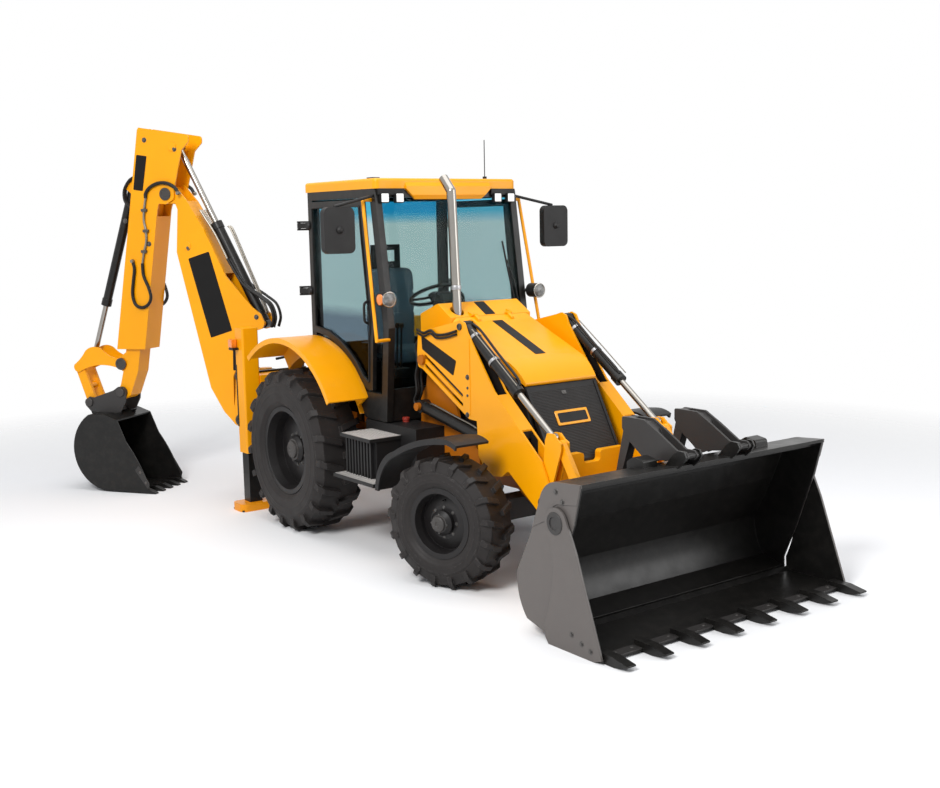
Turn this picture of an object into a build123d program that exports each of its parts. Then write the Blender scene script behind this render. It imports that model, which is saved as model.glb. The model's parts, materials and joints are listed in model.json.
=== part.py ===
from build123d import *
import math
import os

# Backhoe loader, full size, in millimetres.
# Working axes: X forward from the rear axle, Y to the machine's left, Z up from the ground.
# The backhoe is drawn in its own plane (reach, side, height) and then swung into place.

# Driving dimensions of the machine
wheelbase = 2170.0
rear_radius = 700.0
rear_width = 430.0
rear_track_half = 880.0
front_radius = 482.0
front_width = 310.0
front_track_half = 920.0
rest_steer = 18.0
pin_play = 0.05
slide_play = 0.3
spindle_radius = 70.0
kingpin_radius = 30.0
lashing_reach = 2795.0
lashing_side = 250.0
lashing_radius = 22.0

# Loader pins, side view
arm_pivot = (1410.0, 1560.0)
lift_base = (1320.0, 1176.0)
lift_pin = (2190.0, 1000.0)
tilt_base = (1915.0, 1848.0)
lever_pivot = (2870.0, 660.0)
lever_top = (2920.0, 1126.0)
lever_front = (3000.0, 1085.0)
bucket_pivot = (3200.0, 340.0)
bucket_link = (3300.0, 625.0)
clam_pivot = (3708.0, 785.0)
fork_pivot = (3960.0, 1122.0)
arm_centre = 500.0
arm_half = 60.0
arm_wall = 15.0

# Bucket of the loader
bucket_half = 1175.0
jaw_back = 3612.0
jaw_depth = 513.0
tooth_count = 8
tooth_length = 186.0
fork_centre = 250.0

# Hood, cab and doors
hood_half = 400.0
hood_hinge = (1577.0, 1896.0)
cab_half = 711.0
cab_rear = -72.0
roof_top = 2983.0
roof_bottom = 2900.0
floor_top = 1070.0
door_hinge = (-90.0, 790.0)
hinge_heights = (2040.0, 2597.0)

# Rear of the machine
kingpost_x = -1360.0
kingpost_y = -530.0
rest_swing = 35.0
side_shift = 1060.0
stabiliser_x = -930.0
stabiliser_y = 930.0

# Backhoe pins in the plane of the boom (reach, height)
boom_foot = (205.0, 760.0)
boom_ram_base = (190.0, 1190.0)
boom_ram_pin = (740.0, 2450.0)
dipper_pivot = (940.0, 2950.0)
dipper_ram_base = (-18.0, 1694.0)
dipper_tail = 610.0
tip_lever_pivot = (1574.0, 1277.0)
tip_lever_ram = (1945.0, 1375.0)
tip_lever_link = (2082.0, 1240.0)
hoe_pivot = (1577.0, 992.0)
hoe_link_pin = (1954.0, 881.0)
dipper_end = (1429.0, 1430.0)
hoe_bucket_half = 300.0


def near(place, ahead, up):
    """Place in a side view, a step away from another."""
    return (place[0] + ahead, place[1] + up)


dipper_top = near(dipper_pivot, 120, dipper_tail)
dipper_ram_pin = near(dipper_top, -221, -160)
bucket_ram_base = near(dipper_top, 321, -527)


def closed(outline):
    """Face inside a list of points, or the face itself."""
    return make_face(Polyline(*outline, close=True)) if isinstance(outline, list) else outline


def eased(points, radius, *corners):
    """Face inside the points, with the corners of those numbers rounded."""
    face = closed(points)
    chosen = [v for v in face.vertices() if any(math.dist((v.X, v.Y), points[k]) < 0.01 for k in corners)]
    return fillet(chosen, radius)


def bent(start, *steps):
    """Face with a step for each edge: the next point, or a middle and an end point for an arc."""
    edges = []
    here = start
    for step in steps:
        if isinstance(step[0], tuple):
            edges.append(ThreePointArc(here, step[0], step[1]))
            here = step[1]
        else:
            edges.append(Line(here, step))
            here = step
    if math.dist(here, start) > 0.01:
        edges.append(Line(here, start))
    return make_face(edges)


def side_plate(outline, low, high):
    """Plate with a side-view outline (X, Z) between two Y values."""
    plane = Plane(origin=(0, high, 0), x_dir=(1, 0, 0), z_dir=(0, -1, 0))
    return extrude(plane * closed(outline), amount=high - low, dir=(0, -1, 0))


def flat_plate(outline, low, high):
    """Plate with an outline seen from above (X, Y) between two heights."""
    return extrude(Plane.XY.offset(low) * closed(outline), amount=high - low, dir=(0, 0, 1))


def front_plate(outline, rear, front):
    """Plate with an outline seen from the front (Y, Z) between two X values."""
    plane = Plane(origin=(rear, 0, 0), x_dir=(0, 1, 0), z_dir=(1, 0, 0))
    return extrude(plane * closed(outline), amount=front - rear, dir=(1, 0, 0))


def block(x0, x1, y0, y1, z0, z1):
    """Box between two corners."""
    return Pos((x0 + x1) / 2, (y0 + y1) / 2, (z0 + z1) / 2) * Box(x1 - x0, y1 - y0, z1 - z0)


def bar(start, end, radius):
    """Round bar between two points."""
    run = Vector(*end) - Vector(*start)
    plane = Plane(origin=start, z_dir=run)
    return plane * Cylinder(radius, run.length, align=(Align.CENTER, Align.CENTER, Align.MIN))


def cross_pin(place, low, high, radius):
    """Round bar along Y at a side-view place."""
    return bar((place[0], low, place[1]), (place[0], high, place[1]), radius)


def spin(points):
    """Ring about the Y axis from (radius, y) points."""
    return revolve(make_face(Polyline(*points, close=True)), Axis.Y, 360)


def both(shape):
    """The shape and its mirror image on the other side."""
    return [shape, mirror(shape, about=Plane.XZ)]


def along(start, end, distance):
    """Point at a distance from start towards end."""
    length = math.dist(start, end)
    return tuple(a + (b - a) * distance / length for a, b in zip(start, end))


def ram_barrel(base, tip, side, length, outer, rod, eye, width):
    """Hydraulic barrel in the side view: eye, tube, gland and the bore for its rod."""
    to_3d = lambda p: (p[0], side, p[1])
    tube = bar(to_3d(along(base, tip, eye * 0.6)), to_3d(along(base, tip, length)), outer)
    gland = bar(to_3d(along(base, tip, length - 60)), to_3d(along(base, tip, length + 8)), outer + 7)
    lug = cross_pin(base, side - width / 2, side + width / 2, eye)
    bore = bar(to_3d(along(base, tip, eye * 1.6)), to_3d(along(base, tip, length + 20)), rod + pin_play)
    return tube + gland + lug - bore


def ram_rod(base, tip, side, start, rod, eye, width):
    """Chrome rod from inside the barrel to its eye at the tip."""
    to_3d = lambda p: (p[0], side, p[1])
    shaft = bar(to_3d(along(base, tip, start)), to_3d(tip), rod)
    return shaft + cross_pin(tip, side - width / 2, side + width / 2, eye)


def pin_bore(place, side, width, radius):
    """Cutter for the hole that a pin of this radius turns in."""
    return cross_pin(place, side - width, side + width, radius + pin_play)


nodes = {}


# Wheels: tyre and rim about the Y axis, outside towards +Y
tyre_sides = 24


def faceted_ring(points):
    """Faceted ring about the Y axis from (radius, y) points, which its flats touch."""
    grow = 1 / math.cos(math.pi / tyre_sides)
    turns = [2 * math.pi * k / tyre_sides for k in range(tyre_sides)]
    rings = [[(r * grow * math.cos(a), y, r * grow * math.sin(a)) for r, y in points] for a in turns]
    faces = []
    for here, there in zip(rings, rings[1:] + rings[:1]):
        for i in range(len(points)):
            faces.append(make_face(Polyline(here[i - 1], here[i], there[i], there[i - 1], close=True)))
    return Solid(Shell(faces))


def tyre(radius, width, rim_radius, lug_count, lug_width, lug_height):
    """Tyre with slanted lugs that start at the middle, cross the tread and run down its shoulder."""
    half = width / 2
    floor = radius - lug_height
    crown = floor * math.cos(math.pi / tyre_sides)
    side = [(rim_radius, 0.69 * half), (rim_radius + 70, 0.97 * half), (floor - 75, 0.97 * half),
            (crown, 0.8 * half)]
    carcass = faceted_ring(side + [(r, -y) for r, y in side[::-1]])
    slant = 1.3 * lug_width
    top = math.sqrt(radius ** 2 - ((lug_width + slant) / 2) ** 2)
    run = math.hypot(slant, half)
    section = [(8, floor - 25), (8, top), (0.8 * run, top), (run, top - 40), (run, floor - 70),
               (0.8 * run, floor - 70)]
    plane = Plane(origin=(-(slant + lug_width) / 2, 0, 0), x_dir=(slant, half, 0), z_dir=(half, -slant, 0))
    lug = extrude(plane * closed(section), amount=lug_width, dir=(1, 0, 0))
    lugs = []
    for index in range(lug_count):
        turn = 360 * index / lug_count
        lugs.append(Rot(0, turn, 0) * lug)
        lugs.append(Rot(0, turn + 180 / lug_count, 0) * mirror(lug, about=Plane.XZ))
    return carcass + lugs


def rim(radius, width, disc_y, hub_radius, hub_y):
    half = width / 2
    bead = half * 0.8
    barrel = spin([(radius - 14, -bead - 8), (radius + 26, -bead - 8), (radius + 26, -bead), (radius, -bead),
                   (radius, bead), (radius + 26, bead), (radius + 26, bead + 8), (radius - 14, bead + 8),
                   (radius - 30, half * 0.5), (radius - 30, -half * 0.5)])
    disc = spin([(0, disc_y - 14), (hub_radius + 30, disc_y - 14), (radius - 29, disc_y - 44),
                 (radius - 29, disc_y - 30), (hub_radius + 30, disc_y), (0, disc_y)])
    hub = spin([(0, disc_y - 1), (hub_radius, disc_y - 1), (hub_radius, hub_y - 25),
                (hub_radius - 25, hub_y), (0, hub_y)])
    bore = bar((0, disc_y - 60, 0), (0, hub_y - 20, 0), spindle_radius + pin_play)
    return barrel + disc + hub - bore


def placed_wheel(shape, side, x, track, z, steer):
    turned = shape if side > 0 else Rot(0, 0, 180) * shape
    return Pos(x, side * track, z) * Rot(0, 0, steer) * turned


rear_tyre = tyre(rear_radius, rear_width, 355.0, 19, 52.0, 34.0)
rear_hub = 100.0
rear_rim = rim(355.0, rear_width, 60.0, 120.0, rear_hub)
front_tyre = tyre(front_radius, front_width, 235.0, 17, 40.0, 26.0)
front_hub = 128.0
front_rim = rim(235.0, front_width, 66.0, 92.0, front_hub)
for side_name, side in (("right", -1), ("left", 1)):
    nodes["rear_tyre_" + side_name] = placed_wheel(rear_tyre, side, 0, rear_track_half, rear_radius, 0)
    nodes["rear_rim_" + side_name] = placed_wheel(rear_rim, side, 0, rear_track_half, rear_radius, 0)
kingpin_y = 730.0


def steered(shape, side):
    pivot = Pos(wheelbase, side * kingpin_y, 0)
    return pivot * Rot(0, 0, rest_steer) * pivot.inverse() * shape


for side_name, side in (("right", -1), ("left", 1)):
    straight_tyre = placed_wheel(front_tyre, side, wheelbase, front_track_half, front_radius, 0)
    straight_rim = placed_wheel(front_rim, side, wheelbase, front_track_half, front_radius, 0)
    nodes["front_tyre_" + side_name] = steered(straight_tyre, side)
    nodes["front_rim_" + side_name] = steered(straight_rim, side)
    housing = Pos(wheelbase, side * kingpin_y, front_radius) * Cylinder(85, 180)
    housing += Pos(wheelbase, side * kingpin_y, front_radius) * Cylinder(kingpin_radius, 250)
    spindle = bar((wheelbase, side * kingpin_y, front_radius),
                  (wheelbase, side * (front_track_half + front_hub - 21), front_radius), spindle_radius)
    nodes["knuckle_" + side_name] = steered(housing + spindle, side)

# Main frame: two rails, cross members, nose and loader towers
rail = side_plate([(-840, 620), (-840, 980), (-600, 980), (-300, 880), (1300, 880), (1420, 900),
                   (2300, 900), (2640, 860), (2702, 797), (2702, 560), (2450, 560),
                   (wheelbase + 130, 640), (wheelbase - 220, 640), (wheelbase - 370, 560), (400, 560),
                   (150, 811), (-150, 811), (-400, 620)], 300, 330)
tower_plate = side_plate([(1180, 700), (1180, 1230), (1260, 1330), (1310, 1600), (1360, 1650),
                          (1470, 1650), (1540, 1560), (1700, 1100), (1960, 880), (1960, 700)], 405, 430)
tower_web = block(1200, 1900, 329, 406, 700, 860)
tower_pins = cross_pin(arm_pivot, 429, 585, 40) + cross_pin(lift_base, 429, 575, 32)
frame_side = rail + tower_plate + tower_web + tower_pins
nose = front_plate(eased([(-340, 480), (340, 480), (340, 950), (80, 950), (80, 870), (-80, 870), (-80, 950),
                          (-340, 950)], 25, 0, 1, 2, 3, 4, 5, 6, 7), 2702, 2760)
for side in (-1, 1):
    flange = block(2740, lashing_reach + 45, -50, 50, 475, 500)
    flange -= Pos(lashing_reach, 0, 487.5) * Cylinder(lashing_radius, 60)
    nose += Pos(0, side * lashing_side, 0) * flange
nodes["nose_plate"] = nose
cross_members = block(2600, 2702, -301, 301, 560, 860) + block(-900, -820, -301, 301, 700, 900)
cross_members += block(500, 580, -301, 301, 600, 860)
cross_members += block(wheelbase - 320, wheelbase + 130, -301, 301, 640, 700)
cross_members += block(wheelbase - 70, wheelbase + 70, -120, 120, 600, 641)
nodes["main_frame"] = frame_side + mirror(frame_side, about=Plane.XZ) + cross_members
nodes["engine_block"] = block(1250, 2250, -260, 260, 700, 1380)

axle_end = rear_track_half + rear_hub - 21
rear_axle = block(-130, 130, -560, 560, 590, 811) + bar((0, -740, rear_radius), (0, 740, rear_radius), 95)
rear_axle += Pos(0, 0, rear_radius) * Sphere(205)
rear_axle -= block(-400, 400, -800, 800, 811, 1000)
nodes["rear_axle"] = rear_axle + bar((0, -axle_end, rear_radius), (0, axle_end, rear_radius), spindle_radius)
beam = block(wheelbase - 90, wheelbase + 90, -600, 600, 400, 560)
beam += block(wheelbase - 70, wheelbase + 70, -120, 120, 559, 600)
fork_arm = block(wheelbase - 60, wheelbase + 60, 560, 790, 585, 612)
fork_arm += block(wheelbase - 60, wheelbase + 60, 560, 790, 352, 379)
fork_arm += block(wheelbase - 60, wheelbase + 60, 560, 620, 352, 612)
fork_arm -= Pos(wheelbase, kingpin_y, front_radius) * Cylinder(kingpin_radius + pin_play, 300)
nodes["front_axle"] = beam + fork_arm + mirror(fork_arm, about=Plane.XZ)

# Loader arms: two boxed plates each side, open below for the lift ram
arm_outline = [(1345, 1500), (1335, 1620), (1352, 1765), (1480, 1800), (1850, 1880), (1915, 1898),
               (1970, 1880), (2005, 1810), (2320, 1400), (2850, 958), (2975, 715), (3060, 590), (3268, 372),
               (3262, 300), (3200, 270), (3120, 300), (2840, 572), (2475, 833), (2400, 780), (2225, 760),
               (2120, 900), (2107, 1155), (2010, 1160), (1405, 1488)]
pocket_outline = [(1300, 1400), (1300, 1745), (1840, 1855), (1850, 2000), (2350, 2000), (2350, 1350),
                  (2700, 1000), (2660, 930), (2300, 1060), (2300, 600), (1300, 600)]
lever_slot = [(2780, 600), (2730, 770), (2620, 1040), (2620, 1300), (3400, 1300), (3400, 560), (2990, 560), (2870, 578), (2810, 585)]
arm = side_plate(eased(arm_outline, 28, 0, 2, 6, 14, 16, 17, 22), arm_centre - arm_half, arm_centre + arm_half)
for inner_edge in (52, 122):
    groove = [(1440, 1452 + inner_edge), (1925, 1190 + inner_edge), (1945, 1214 + inner_edge), (1430, 1492 + inner_edge)]
    arm -= side_plate(eased(groove, 12, 0, 1, 2, 3), arm_centre + arm_half - 16, arm_centre + arm_half + 1)
arm -= side_plate(pocket_outline, arm_centre - arm_half + arm_wall, arm_centre + arm_half - arm_wall)
arm -= side_plate(lever_slot, arm_centre - arm_half + arm_wall, arm_centre + arm_half - arm_wall)
arm -= pin_bore(arm_pivot, arm_centre, 100, 40)
arm -= pin_bore(bucket_pivot, arm_centre, 100, 35)
arm += cross_pin(tilt_base, arm_centre - arm_half + 1, arm_centre + arm_half - 1, 25)
arm += cross_pin(lever_pivot, arm_centre - arm_half + 1, arm_centre + arm_half - 1, 30)
tube = bar((2960, -441, 560), (2960, 441, 560), 75)
nodes["loader_arms"] = arm + mirror(arm, about=Plane.XZ) + tube

# Lift and tilt rams
lift_length = math.dist(lift_base, lift_pin)
lift_barrel = ram_barrel(lift_base, lift_pin, arm_centre, lift_length - 120, 48, 28, 52, 84)
lift_barrel -= pin_bore(lift_base, arm_centre, 100, 32)
nodes["lift_barrels"] = both(lift_barrel)
nodes["lift_rods"] = both(ram_rod(lift_base, lift_pin, arm_centre, 240, 28, 44, 60))
tilt_barrel = ram_barrel(tilt_base, lever_top, arm_centre, 760, 42, 24, 42, 70)
tilt_barrel -= pin_bore(tilt_base, arm_centre, 100, 25)
nodes["tilt_barrels"] = both(tilt_barrel)
nodes["tilt_rods"] = both(ram_rod(tilt_base, lever_top, arm_centre, 330, 24, 36, 34))

# Tipping levers and links
lever_outline = [(2828, 640), (2870, 616), (2912, 640), (2945, 800), (3038, 1060), (3038, 1110), (2995, 1130),
                 (2955, 1165), (2890, 1165), (2868, 1110), (2832, 800)]
lever_face = eased(lever_outline, 14, 0, 2, 4, 5, 8)
lever = side_plate(lever_face, arm_centre - 40, arm_centre - 24)
lever += side_plate(lever_face, arm_centre + 24, arm_centre + 40)
lever += cross_pin(lever_pivot, arm_centre - 40, arm_centre + 40, 44)
lever += cross_pin(lever_front, arm_centre - 40, arm_centre + 40, 22)
lever -= pin_bore(lever_pivot, arm_centre, 100, 30)
nodes["tipping_levers"] = both(lever)
link = side_plate([(2965, 1065), (3268, 600), (3334, 645), (3032, 1108)], arm_centre - 18, arm_centre + 18)
link += cross_pin(lever_front, arm_centre - 18, arm_centre + 18, 40)
link += cross_pin(bucket_link, arm_centre - 18, arm_centre + 18, 38)
link -= pin_bore(lever_front, arm_centre, 100, 22)
nodes["tipping_links"] = both(link)

# Bucket of the loader: back shell with its side plates, and the clam jaw in front
shell_arcs = [((3590, 990), (3541, 900)), (3467, 715), (3306, 400), ((3320, 240), (3399, 100)), (3598, 48)]
shell_face = bent((3923, 1055), (3720, 1040), *shell_arcs, (3600, 70), (3412, 118), ((3342, 245), (3330, 390)),
                  (3488, 706), (3562, 892), ((3612, 975), (3724, 1019)), (3925, 1034))
shell = side_plate(shell_face, -1150, 1150)
back_side = side_plate(bent((3923, 1055), (3855, 793), (3817, 699), (3708, 394), (3597, 130), (3598, 48),
                            (3399, 100), ((3320, 240), (3306, 400)), (3467, 715), (3541, 900),
                            ((3590, 990), (3720, 1040))), 1130, 1150)
rim_face = bent((3923, 1055), (3890, 925), (3745, 905), ((3672, 880), (3640, 800)), (3467, 715), (3541, 900),
                ((3590, 990), (3720, 1040)))
back_side += side_plate(rim_face, 1149, 1155)
shell += side_plate([(3923, 1055), (3925, 1034), (3860, 1026), (3858, 1000), (3790, 990), (3790, 1040)], -1150, 1150)
back_lug = side_plate([(3130, 330), (3160, 268), (3230, 262), (3300, 320), (3330, 420), (3472, 715),
                       (3440, 740), (3350, 690), (3290, 678), (3245, 650), (3235, 600), (3200, 480)], 0, 22)
lugs = Pos(0, arm_centre - arm_half - 6 - 22, 0) * back_lug
lugs += Pos(0, arm_centre + arm_half + 6, 0) * back_lug
lugs += cross_pin(bucket_pivot, arm_centre - arm_half - 28, arm_centre + arm_half + 28, 35)
lugs += cross_pin(bucket_link, arm_centre - arm_half - 28, arm_centre - 24, 40)
lugs += cross_pin(bucket_link, arm_centre + 24, arm_centre + arm_half + 28, 40)
fork_lug = side_plate([(3800, 1036), (3880, 1130), (3930, 1158), (3975, 1156), (3996, 1122),
                       (3975, 1088), (3925, 1042)], 0, 14)
fork_lugs = Pos(0, fork_centre - 78, 0) * fork_lug + Pos(0, fork_centre + 64, 0) * fork_lug
fork_lugs += cross_pin(fork_pivot, fork_centre - 78, fork_centre + 78, 18)
half_bucket = back_side + lugs + fork_lugs + cross_pin(clam_pivot, 1149, bucket_half, 40)
for guard_y in (-442, 635):
    guard_face = eased([(3640, 1000), (3640, 1075), (3700, 1110), (3790, 1095), (3800, 1030)], 22, 1, 2, 3)
    shell += side_plate(guard_face, guard_y - 60, guard_y + 60)
nodes["loader_bucket"] = shell + half_bucket + mirror(half_bucket, about=Plane.XZ)

lip = jaw_back + jaw_depth
jaw_side = side_plate(bent((3612, 770), ((3708, 885), (3800, 840)), (3897, 635), (lip, 25), (lip - 65, 0),
                           (3640, 0), (3608, 40), (3603, 130), ((3668, 320), (3690, 470)),
                           ((3668, 630), (3612, 770))), 1156, bucket_half)
jaw_side -= cross_pin(clam_pivot, 1100, 1200, 40 + pin_play)
jaw_floor = side_plate([(jaw_back, 20), (jaw_back + 28, 0), (lip - 65, 0), (lip, 12), (lip, 28), (lip - 85, 34),
                        (jaw_back + 38, 36), (jaw_back, 60)], -1157, 1157)
tooth = side_plate([(lip - 85, 0), (lip + 75, 0), (lip + tooth_length, 28), (lip + tooth_length, 38),
                    (lip + 55, 62), (lip - 85, 62)], -36, 36)
jaw = jaw_floor + jaw_side + mirror(jaw_side, about=Plane.XZ)
for index in range(tooth_count):
    spread = 2 * 1108.0 / (tooth_count - 1)
    jaw += Pos(0, -1108.0 + index * spread, 0) * tooth
nodes["bucket_jaw"] = jaw

# Flip-over forks, folded behind the bucket
carrier_outline = [(3385, 1240), (3385, 1316), (3590, 1316), (3724, 1246), (3886, 1152), (3960, 1152), (3990, 1122),
                   (3960, 1092), (3880, 1085), (3700, 1062), (3620, 1030), (3560, 1080), (3420, 1180)]
carrier = side_plate(eased(carrier_outline, 14, 0, 1, 2, 3, 5, 6, 7), 0, 16)
carrier_fill = side_plate(eased([(3400, 1215), (3470, 1300), (3590, 1300), (3660, 1262), (3700, 1180), (3640, 1100),
                                 (3560, 1110)], 20, 2, 3, 4), -35, 35)
carrier_fill -= cross_pin((3600, 1200), -60, 60, 26)
tine = side_plate([(3385, 1230), (3400, 1312), (3470, 1312), (3460, 1200), (3330, 820), (3262, 440),
                   (3240, 430), (3232, 445), (3290, 840)], -34, 34)
fork = Pos(0, -50, 0) * carrier + Pos(0, 34, 0) * carrier + tine + carrier_fill
fork -= cross_pin(fork_pivot, -100, 100, 18 + pin_play)
nodes["forks"] = [Pos(0, fork_centre, 0) * fork, Pos(0, -fork_centre, 0) * fork]

# Hood, cowl, grille and side panels
hood_profile = bent((1580, 1500), (1580, 1885), (1640, 1850), (2190, 1620), ((2330, 1545), (2422, 1450)),
                    ((2424, 1436), (2418, 1424)), (2280, 1500))
hood_plan = [(1500, -hood_half), (1980, -hood_half), (2440, -342), (2440, 342), (1980, hood_half), (1500, hood_half)]
hood = side_plate(hood_profile, -hood_half, hood_half) & flat_plate(hood_plan, 1400, 2000)
hood_slope = Plane(origin=(1500, 0, 1909), x_dir=(0, 1, 0), z_dir=(550, 0, -230))
hood_section = eased([(-hood_half, -700), (hood_half, -700), (hood_half, 10), (-hood_half, 10)], 75, 2, 3)
hood &= extrude(hood_slope * hood_section, amount=1200, dir=(550, 0, -230))
wall = 22
hood_room = [(1500, wall - hood_half), (1970, wall - hood_half), (2440, wall - 342), (2440, 342 - wall),
             (1970, hood_half - wall), (1500, hood_half - wall)]
hood -= side_plate([(1570, 1400), (1570, 1860), (1630, 1826), (2180, 1596), (2390, 1440), (2425, 1400)],
                   -hood_half, hood_half) & flat_plate(hood_room, 1300, 2000)
hood_knuckle = side_plate([(1640, 1852), (1640, 1868), (1596, 1896), (1590, 1908), (1568, 1909),
                           (1565, 1897), (1577, 1889), (1581, 1884)], 150, 180)
for side in (-1, 1):
    hood += Pos(0, side * 165 - 165, 0) * hood_knuckle
hood -= cross_pin(hood_hinge, -240, 240, 9 + pin_play)
nodes["hood"] = hood
cowl = side_plate([(1160, 1500), (1160, 1900), (1400, 1990), (1574, 1888), (1574, 1500)],
                  -hood_half, hood_half)
cowl -= side_plate([(1180, 1450), (1180, 1876), (1400, 1962), (1600, 1850), (1600, 1450)],
                   -hood_half + 25, hood_half - 25)
cowl_lug = side_plate([(1530, 1910), (1530, 1922), (1582, 1908), (1589, 1896), (1579, 1887), (1572, 1888)],
                      182, 200)
cowl_hinge = cowl_lug + cross_pin(hood_hinge, 140, 200, 9) + block(1400, 1480, hood_half - 1, hood_half + 5, 1520, 1600)
cowl -= cross_pin(hood_hinge, 146, 182, 18) + cross_pin(hood_hinge, -182, -146, 18)
exhaust_place = (1500.0, -282.0)
exhaust_lean = 0.05
cowl += cowl_hinge + mirror(cowl_hinge, about=Plane.XZ)
cowl -= Pos(exhaust_place[0], exhaust_place[1], 1900) * Cylinder(55, 400)
nodes["cowl"] = cowl
grille = side_plate([(2412, 1419), (2395, 1419), (2660, 890), (2665, 868), (2702, 868), (2702, 890)],
                    -342, 342)
panel = side_plate([(1700, 905), (1700, 1490), (2275, 1490), (2398, 1412), (2590, 960), (2590, 905)],
                   345, 370)
panel += block(1900, 2280, 330, 370, 880, 906)
nodes["front_panels"] = [grille] + both(panel)
exhaust_foot = (exhaust_place[0] + 540 * exhaust_lean, exhaust_place[1], 1386)
exhaust_bend = (exhaust_place[0] - 945 * exhaust_lean, exhaust_place[1], 2866)
pipe = bar(exhaust_foot, exhaust_bend, 38) + Pos(exhaust_bend) * Sphere(38)
pipe += bar(exhaust_bend, (exhaust_bend[0] - 100, exhaust_place[1], 2970), 38)
pipe -= bar((exhaust_bend[0] - 60, exhaust_place[1], 2928), (exhaust_bend[0] - 110, exhaust_place[1], 2980), 34)
manifold = block(exhaust_foot[0] - 40, exhaust_foot[0] + 40, exhaust_place[1] - 38, -260, 1300, 1392)
nodes["exhaust"] = pipe + manifold

# Cab frame, roof and glass
tub_half = rear_track_half - rear_width / 2 - 53
cab_feet = [block(x, x + 80, y, y + 30, 880, 1041) for x in (0, 900) for y in (-330, 300)]
floor = block(-60, 1060, 12 - tub_half, tub_half - 12, 1040, floor_top)
floor += block(740, 1060, 21 - cab_half, cab_half - 21, 1040, floor_top)
arch_radius = 823.0
arch_angles = [math.radians(a) for a in range(25, 95, 5)]
arch_edge = [(arch_radius * math.cos(a), rear_radius + arch_radius * math.sin(a)) for a in arch_angles]
arch_panel = side_plate(arch_edge + [(-60, 1530), (-60, 1680), (60, 1680), (260, 1655), (450, 1580),
                                     (560, 1510), (660, 1430), (760, 1330), (840, 1262), (840, 1060)],
                        cab_half - 40, cab_half - 12)
tub_edge = [(805 * math.cos(a), rear_radius + 805 * math.sin(a)) for a in arch_angles]
tub_wall = side_plate(tub_edge + [(cab_rear, 1500), (cab_rear, 1041), (740, 1041)], tub_half - 12, tub_half)
c_pillar = block(cab_rear, 0, cab_half - 75, cab_half, 1530, 2880)
sill = block(800, 1100, cab_half - 45, cab_half, 1040, 1262)
a_pillar = side_plate([(1040, 1040), (1100, 1040), (1165, 1800), (1010, 2890), (930, 2890), (1085, 1800),
                       (1040, 1300)], cab_half - 60, cab_half)
hinge_outline = [(-110, 790), (-100, 808), (-78, 808), (-40, 705), (-71, 700), (-104, 760)]
for height in hinge_heights:
    c_pillar += flat_plate(hinge_outline, height - 17, height - 2) + flat_plate(hinge_outline, height + 47, height + 62)
    c_pillar += Pos(door_hinge[0], door_hinge[1], height + 22) * Cylinder(12, 60)
cab_side = c_pillar + sill + a_pillar + arch_panel + tub_wall
rails = block(cab_rear, 0, -cab_half, cab_half, 2820, roof_bottom) + block(930, 1010, -cab_half, cab_half, 2830, 2890)
rails += block(cab_rear, 1000, cab_half - 60, cab_half, 2830, roof_bottom)
rails += block(cab_rear, 1000, -cab_half, -cab_half + 60, 2830, roof_bottom)
rails += block(cab_rear, -30, -tub_half, tub_half, 1040, 1540)
rails += block(cab_rear, -30, -cab_half + 1, cab_half - 1, 1530, 1590)
rails += block(1040, 1100, -cab_half, cab_half, 1040, 1300)
cab_frame = floor + cab_feet + cab_side + mirror(cab_side, about=Plane.XZ) + rails
nodes["cab_frame"] = cab_frame
roof = fillet(block(-137, 1022, -cab_half, cab_half, roof_bottom, roof_top).edges().filter_by(Axis.Z), 45)
roof = fillet(roof.faces().sort_by(Axis.Z)[-1].edges(), 24)
visor = side_plate([(1010, 2815), (1022, 2815), (1040, 2850), (1040, 2920), (1012, 2968), (1000, 2968), (1000, 2910),
                    (1010, 2900)], -430, 430)
visor &= front_plate([(-330, 2810), (330, 2810), (425, 2900), (425, 2980), (-425, 2980), (-425, 2900)], 990, 1050)
nodes["roof"] = roof + visor
windscreen = side_plate([(1062, 1301), (1150, 1800), (1000, 2829), (994, 2829), (1144, 1800), (1056, 1301)],
                        -cab_half + 60, cab_half - 60)
rear_window = block(-54, -48, -cab_half + 75, cab_half - 75, 1590, 2820)
nodes["cab_glass"] = [windscreen, rear_window]

door_outline = [(20, 1712), (20, 2816), (880, 2816), (905, 2560), (1010, 1800), (990, 1700), (960, 1290),
                (880, 1290), (800, 1345), (700, 1450), (600, 1530), (460, 1610), (260, 1685), (60, 1712)]
window_outline = [(70, 1762), (70, 2766), (835, 2766), (858, 2540), (955, 1800), (935, 1700), (915, 1350),
                  (900, 1345), (830, 1395), (730, 1500), (620, 1580), (480, 1660), (280, 1735), (90, 1760)]
door_out = cab_half + 40
door = side_plate(door_outline, cab_half + 4, door_out) - side_plate(window_outline, 600, 900)
door_arm_outline = [(-110, 782), (-110, 800), (-90, 812), (-60, 800), (40, 764), (40, 721), (0, 740), (-80, 768)]
for height in hinge_heights:
    door += flat_plate(door_arm_outline, height, height + 45)
    door -= Pos(door_hinge[0], door_hinge[1], height) * Cylinder(12 + pin_play, 200)
glass = side_plate(window_outline, cab_half + 16, cab_half + 22)
for side_name, sign in (("left", 1), ("right", -1)):
    turned = door if sign > 0 else mirror(door, about=Plane.XZ)
    pane = glass if sign > 0 else mirror(glass, about=Plane.XZ)
    nodes["door_" + side_name] = turned
    nodes["door_glass_" + side_name] = pane

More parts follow.
